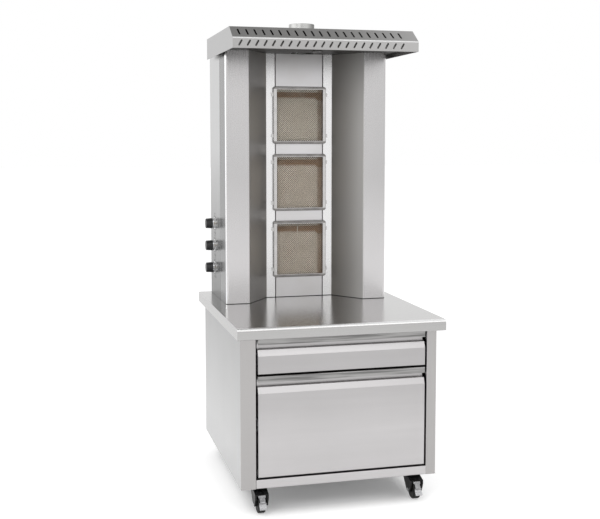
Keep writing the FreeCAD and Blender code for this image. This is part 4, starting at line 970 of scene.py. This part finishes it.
# %% Louvre tree
def louvre_tree(material):
    board = GrowTree("louvres", Length=0.156, Reach=0.007, Pitch=0.018, Column=0.15, Rows=9)
    length, reach, pitch, column, rows = board.given.values()
    thickness, weld = 0.0008, 0.00001
    arc = board.node("GeometryNodeCurveArc", {
        "Resolution": 7, "Radius": reach, "Start Angle": 0.0, "Sweep Angle": math.radians(90.0)})
    spine = board.node("GeometryNodeCurvePrimitiveLine", {
        "Start": board.vector(length * -0.5), "End": board.vector(length * 0.5)})
    hood = board.node("GeometryNodeCurveToMesh", {"Curve": spine, "Profile Curve": arc})
    thick = board.node("GeometryNodeExtrudeMesh", {
        "Mesh": hood, "Offset Scale": thickness, "Individual": False}, mode="FACES")
    inside = board.node("GeometryNodeFlipFaces", {"Mesh": hood})
    closed = board.node("GeometryNodeMergeByDistance", {
        "Geometry": board.join(thick, inside), "Distance": weld})
    one_column = board.row(closed, rows, board.vector(z=pitch))
    both = board.row(one_column, 2, board.vector(column * 2.0), board.vector(column * -1.0))
    return board.finish_with(both, material)


lowest_slot, mouth_drop = 0.560, 0.003
louvre_place = Matrix.Translation((0.0, back_y, tower_foot + lowest_slot - mouth_drop))
grow("louvres", louvre_tree(louvre_sheet), "grill_frame", "sheet_steel", True, louvre_place)

# %% [markdown]
# ### Screws in the cabinet's back
# The back panel is held by pan-head screws with a cross recess. The head is a low cone. Two dark bars
# in its top are painted shade that stands for the recess, which is too small to need a real cut. Both
# are instanced along the panel's edges.

# %% Screw tree
screw_spacing, screw_height = 0.115, 0.0022


def screw_tree(material):
    board = GrowTree("panel screws", Radius=0.0045, Height=screw_height, Spacing=screw_spacing, Count=5)
    radius, height, spacing, count = board.given.values()
    head = board.node("GeometryNodeMeshCone", {
        "Vertices": 18, "Radius Top": radius * 0.7, "Radius Bottom": radius, "Depth": height})
    return board.finish_with(board.row(head, count, board.vector(y=spacing)), material)


# Painted shade: dark bars in place of the cross recess.
def recess_tree(material):
    board = GrowTree("screw recesses", Size=0.0042, Width=0.0009, Lift=screw_height,
                     Spacing=screw_spacing, Count=5)
    size, width, lift, spacing, count = board.given.values()
    bars = [board.node("GeometryNodeMeshCube", {"Size": board.vector(across, up, 0.0003)})
            for across, up in ((size, width), (width, size))]
    row = board.row(board.join(*bars), count, board.vector(y=spacing), board.vector(z=lift))
    return board.finish_with(row, material)


facing_back = Matrix(((-1, 0, 0, 0), (0, 0, 1, 0), (0, 1, 0, 0), (0, 0, 0, 1)))
panel_low, panel_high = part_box("cabinet_back")
cabinet_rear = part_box("cabinet_left_side")[1].y
edge_in, first_up = 0.009, 0.035
screws, recesses = screw_tree(zinc), recess_tree(ink_and_recess_shade)
for side, x in (("left", panel_low.x + edge_in), ("right", panel_high.x - edge_in)):
    at_edge = Matrix.Translation((x, cabinet_rear, panel_low.z + first_up)) @ facing_back
    grow("back_screws_" + side, screws, "grill_frame", "runner_steel", False, at_edge)
    grow("back_screw_recesses_" + side, recesses, "grill_frame", "runner_steel", False, at_edge)

# %% [markdown]
# ### Fins on the spit motor
# The motor lies across the hood beside its gearbox. Cooling fins are thin discs instanced along its
# axis, standing a little proud of the round body.

# %% Fin tree
def fin_tree(material):
    board = GrowTree("motor fins", Radius=0.0282, Thickness=0.0016, Spacing=0.0075, Count=14)
    radius, thickness, spacing, count = board.given.values()
    disc = board.node("GeometryNodeMeshCylinder", {"Vertices": 40, "Radius": radius, "Depth": thickness})
    return board.finish_with(board.row(disc, count, board.vector(z=spacing)), material)


first_fin_x, axis_above_deck = 0.061, 0.0298
motor_axis = Vector((first_fin_x, middle(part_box("drive_socket")).y,
                     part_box("hood_deck")[0].z + axis_above_deck))
along_x = Matrix.Translation(motor_axis) @ Matrix.Rotation(math.radians(90.0), 4, "Y")
grow("motor_fins", fin_tree(motor_grey), "grill_frame", "motor_paint", False, along_x)

# %% [markdown]
# ### Balls in the drawer runners
# A telescopic runner rolls on two rows of steel balls above and below each middle member. They sit in
# the gap between the channels and travel with the middle member.

# %% Ball tree
ball_radius = 0.0012


def ball_tree(material):
    board = GrowTree("runner balls", Radius=ball_radius, Spacing=0.012, Count=40)
    radius, spacing, count = board.given.values()
    ball = board.node("GeometryNodeMeshIcoSphere", {"Radius": radius, "Subdivisions": 2})
    return board.finish_with(board.row(ball, count, board.vector(y=spacing)), material)


balls = ball_tree(turned_steel)
inset, first_ball, rim = 0.0040, 0.06, 0.0015 + ball_radius
for drawer in ("upper", "lower"):
    low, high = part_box(drawer + "_middle_members")
    for side, x in (("left", low.x + inset), ("right", high.x - inset)):
        for edge, z in (("low", low.z + rim), ("high", high.z - rim)):
            start = Matrix.Translation((x, low.y + first_ball, z))
            grow("balls_%s_%s_%s" % (drawer, side, edge), balls, drawer + "_runner_middle", "runner_steel",
                 True, start)

# %% [markdown]
# ## Studio
# The background and the floor are white in the picture. The world is exactly white to the camera and
# dimmer where it only lights the object. Bare metal in an even white room would look like paper, so
# reflections find a dim ceiling and a bright window on the left, and bends show soft gradients.

# %% World
world = bpy.data.worlds.new("pale studio")
bpy.context.scene.world = world
world.use_nodes = True
studio = Board(world.node_tree)
sky = studio.tree.nodes["Background"]
seen, glossy, through = [studio.node("ShaderNodeLightPath", out=ray)
                         for ray in ("Is Camera Ray", "Is Glossy Ray", "Is Transmission Ray")]
shown = seen.math("MAXIMUM", glossy).math("MAXIMUM", through)
way = studio.split(studio.node("ShaderNodeTexCoord", out="Generated"))
ceiling_dim, window_gain, light_level = 0.42, 0.7, 0.78
ceiling = studio.between(way[2], 0.74, 0.96, 0.0, ceiling_dim, "SMOOTHSTEP")
window = studio.between(way[0], -0.80, -0.97, 0.0, window_gain, "SMOOTHSTEP")
strength = shown * (1.0 - light_level) + light_level + glossy * (window - ceiling)
studio.link(strength, sky.inputs["Strength"])
sky.inputs["Color"].default_value = (*grey(1.0), 1.0)
print("world", light_level, "for light, 1.0 where it is seen, uneven in reflections")

# %% [markdown]
# Two large soft lamps, high on the left and in front, give the shadow its direction. A sun or a small
# lamp would draw it too hard for a studio picture.

# %% Lamps
def soft_lamp(name, place, aim, size, power):
    data = bpy.data.lights.new(name, "AREA")
    data.shape = "RECTANGLE"
    data.size, data.size_y = size
    data.energy = power
    lamp = new_object(name, data)
    lamp.location = place
    lamp.rotation_euler = (Vector(aim) - Vector(place)).to_track_quat("-Z", "Y").to_euler()


soft_lamp("key lamp", (-2.2, -2.6, 3.4), aim=(0.0, 0.0, 0.8), size=(2.0, 2.0), power=32.0)
soft_lamp("front lamp", (1.0, -3.3, 3.1), aim=(0.0, -0.3, 0.7), size=(2.6, 1.4), power=12.0)
print("two lamps")

# %% [markdown]
# The floor is a wide plane. Its own colour keeps the soft shadow under the cabinet. Where the camera
# or a reflection sees it, it glows a little white, and more of it away from the cabinet, so that it
# fades into the background without an edge. The weaker glow near the cabinet is a painted shadow
# around its foot.

# %% Floor
def floor_finish(half_width=0.20, half_depth=0.30, near_white=0.10, far_white=0.44):
    """Pale floor with a glow that grows with the distance from a rectangle under the cabinet: a painted
    shadow.
    """
    paper = Finish("pale floor", Roughness=0.9, Base_Color=(0.86, 0.86, 0.86, 1.0),
                   Specular_IOR_Level=0.1)
    by_eye, by_gloss = [paper.node("ShaderNodeLightPath", out=ray)
                        for ray in ("Is Camera Ray", "Is Glossy Ray")]
    outward = paper.node("ShaderNodeVectorMath", {0: paper.place}, operation="ABSOLUTE")
    beyond = paper.node("ShaderNodeVectorMath", {0: outward, 1: (half_width, half_depth, 0.0)},
                        operation="SUBTRACT")
    clipped = paper.node("ShaderNodeVectorMath", {0: beyond, 1: (0.0, 0.0, 0.0)}, operation="MAXIMUM")
    spread = paper.node("ShaderNodeVectorMath", {0: clipped}, out="Value", operation="LENGTH")
    # Painted shadow: less glow close to the cabinet.
    fade = paper.between(spread, 0.05, 0.15, near_white, far_white, "SMOOTHSTEP")
    glow = paper.node("ShaderNodeEmission", {"Color": (*grey(1.0), 1.0),
                                             "Strength": (by_eye + by_gloss * 0.6) * fade})
    total = paper.node("ShaderNodeAddShader", {0: Wire(paper, paper.shader.outputs[0]), 1: glow})
    paper.link(total, paper.tree.nodes["Material Output"].inputs["Surface"])
    return paper.material


reach = 40.0
floor_mesh = bpy.data.meshes.new("floor")
floor_mesh.from_pydata([(-reach, -reach, 0.0), (reach, -reach, 0.0), (reach, reach, 0.0),
                        (-reach, reach, 0.0)], [], [(0, 1, 2, 3)])
floor_mesh.materials.append(floor_finish())
floor = new_object("floor", floor_mesh)
print("floor ready")

# %% [markdown]
# ## Last settings
# The view transform is Standard, so that a colour renders about as it is written.

# %% Finish
bpy.context.scene.view_settings.view_transform = "Standard"
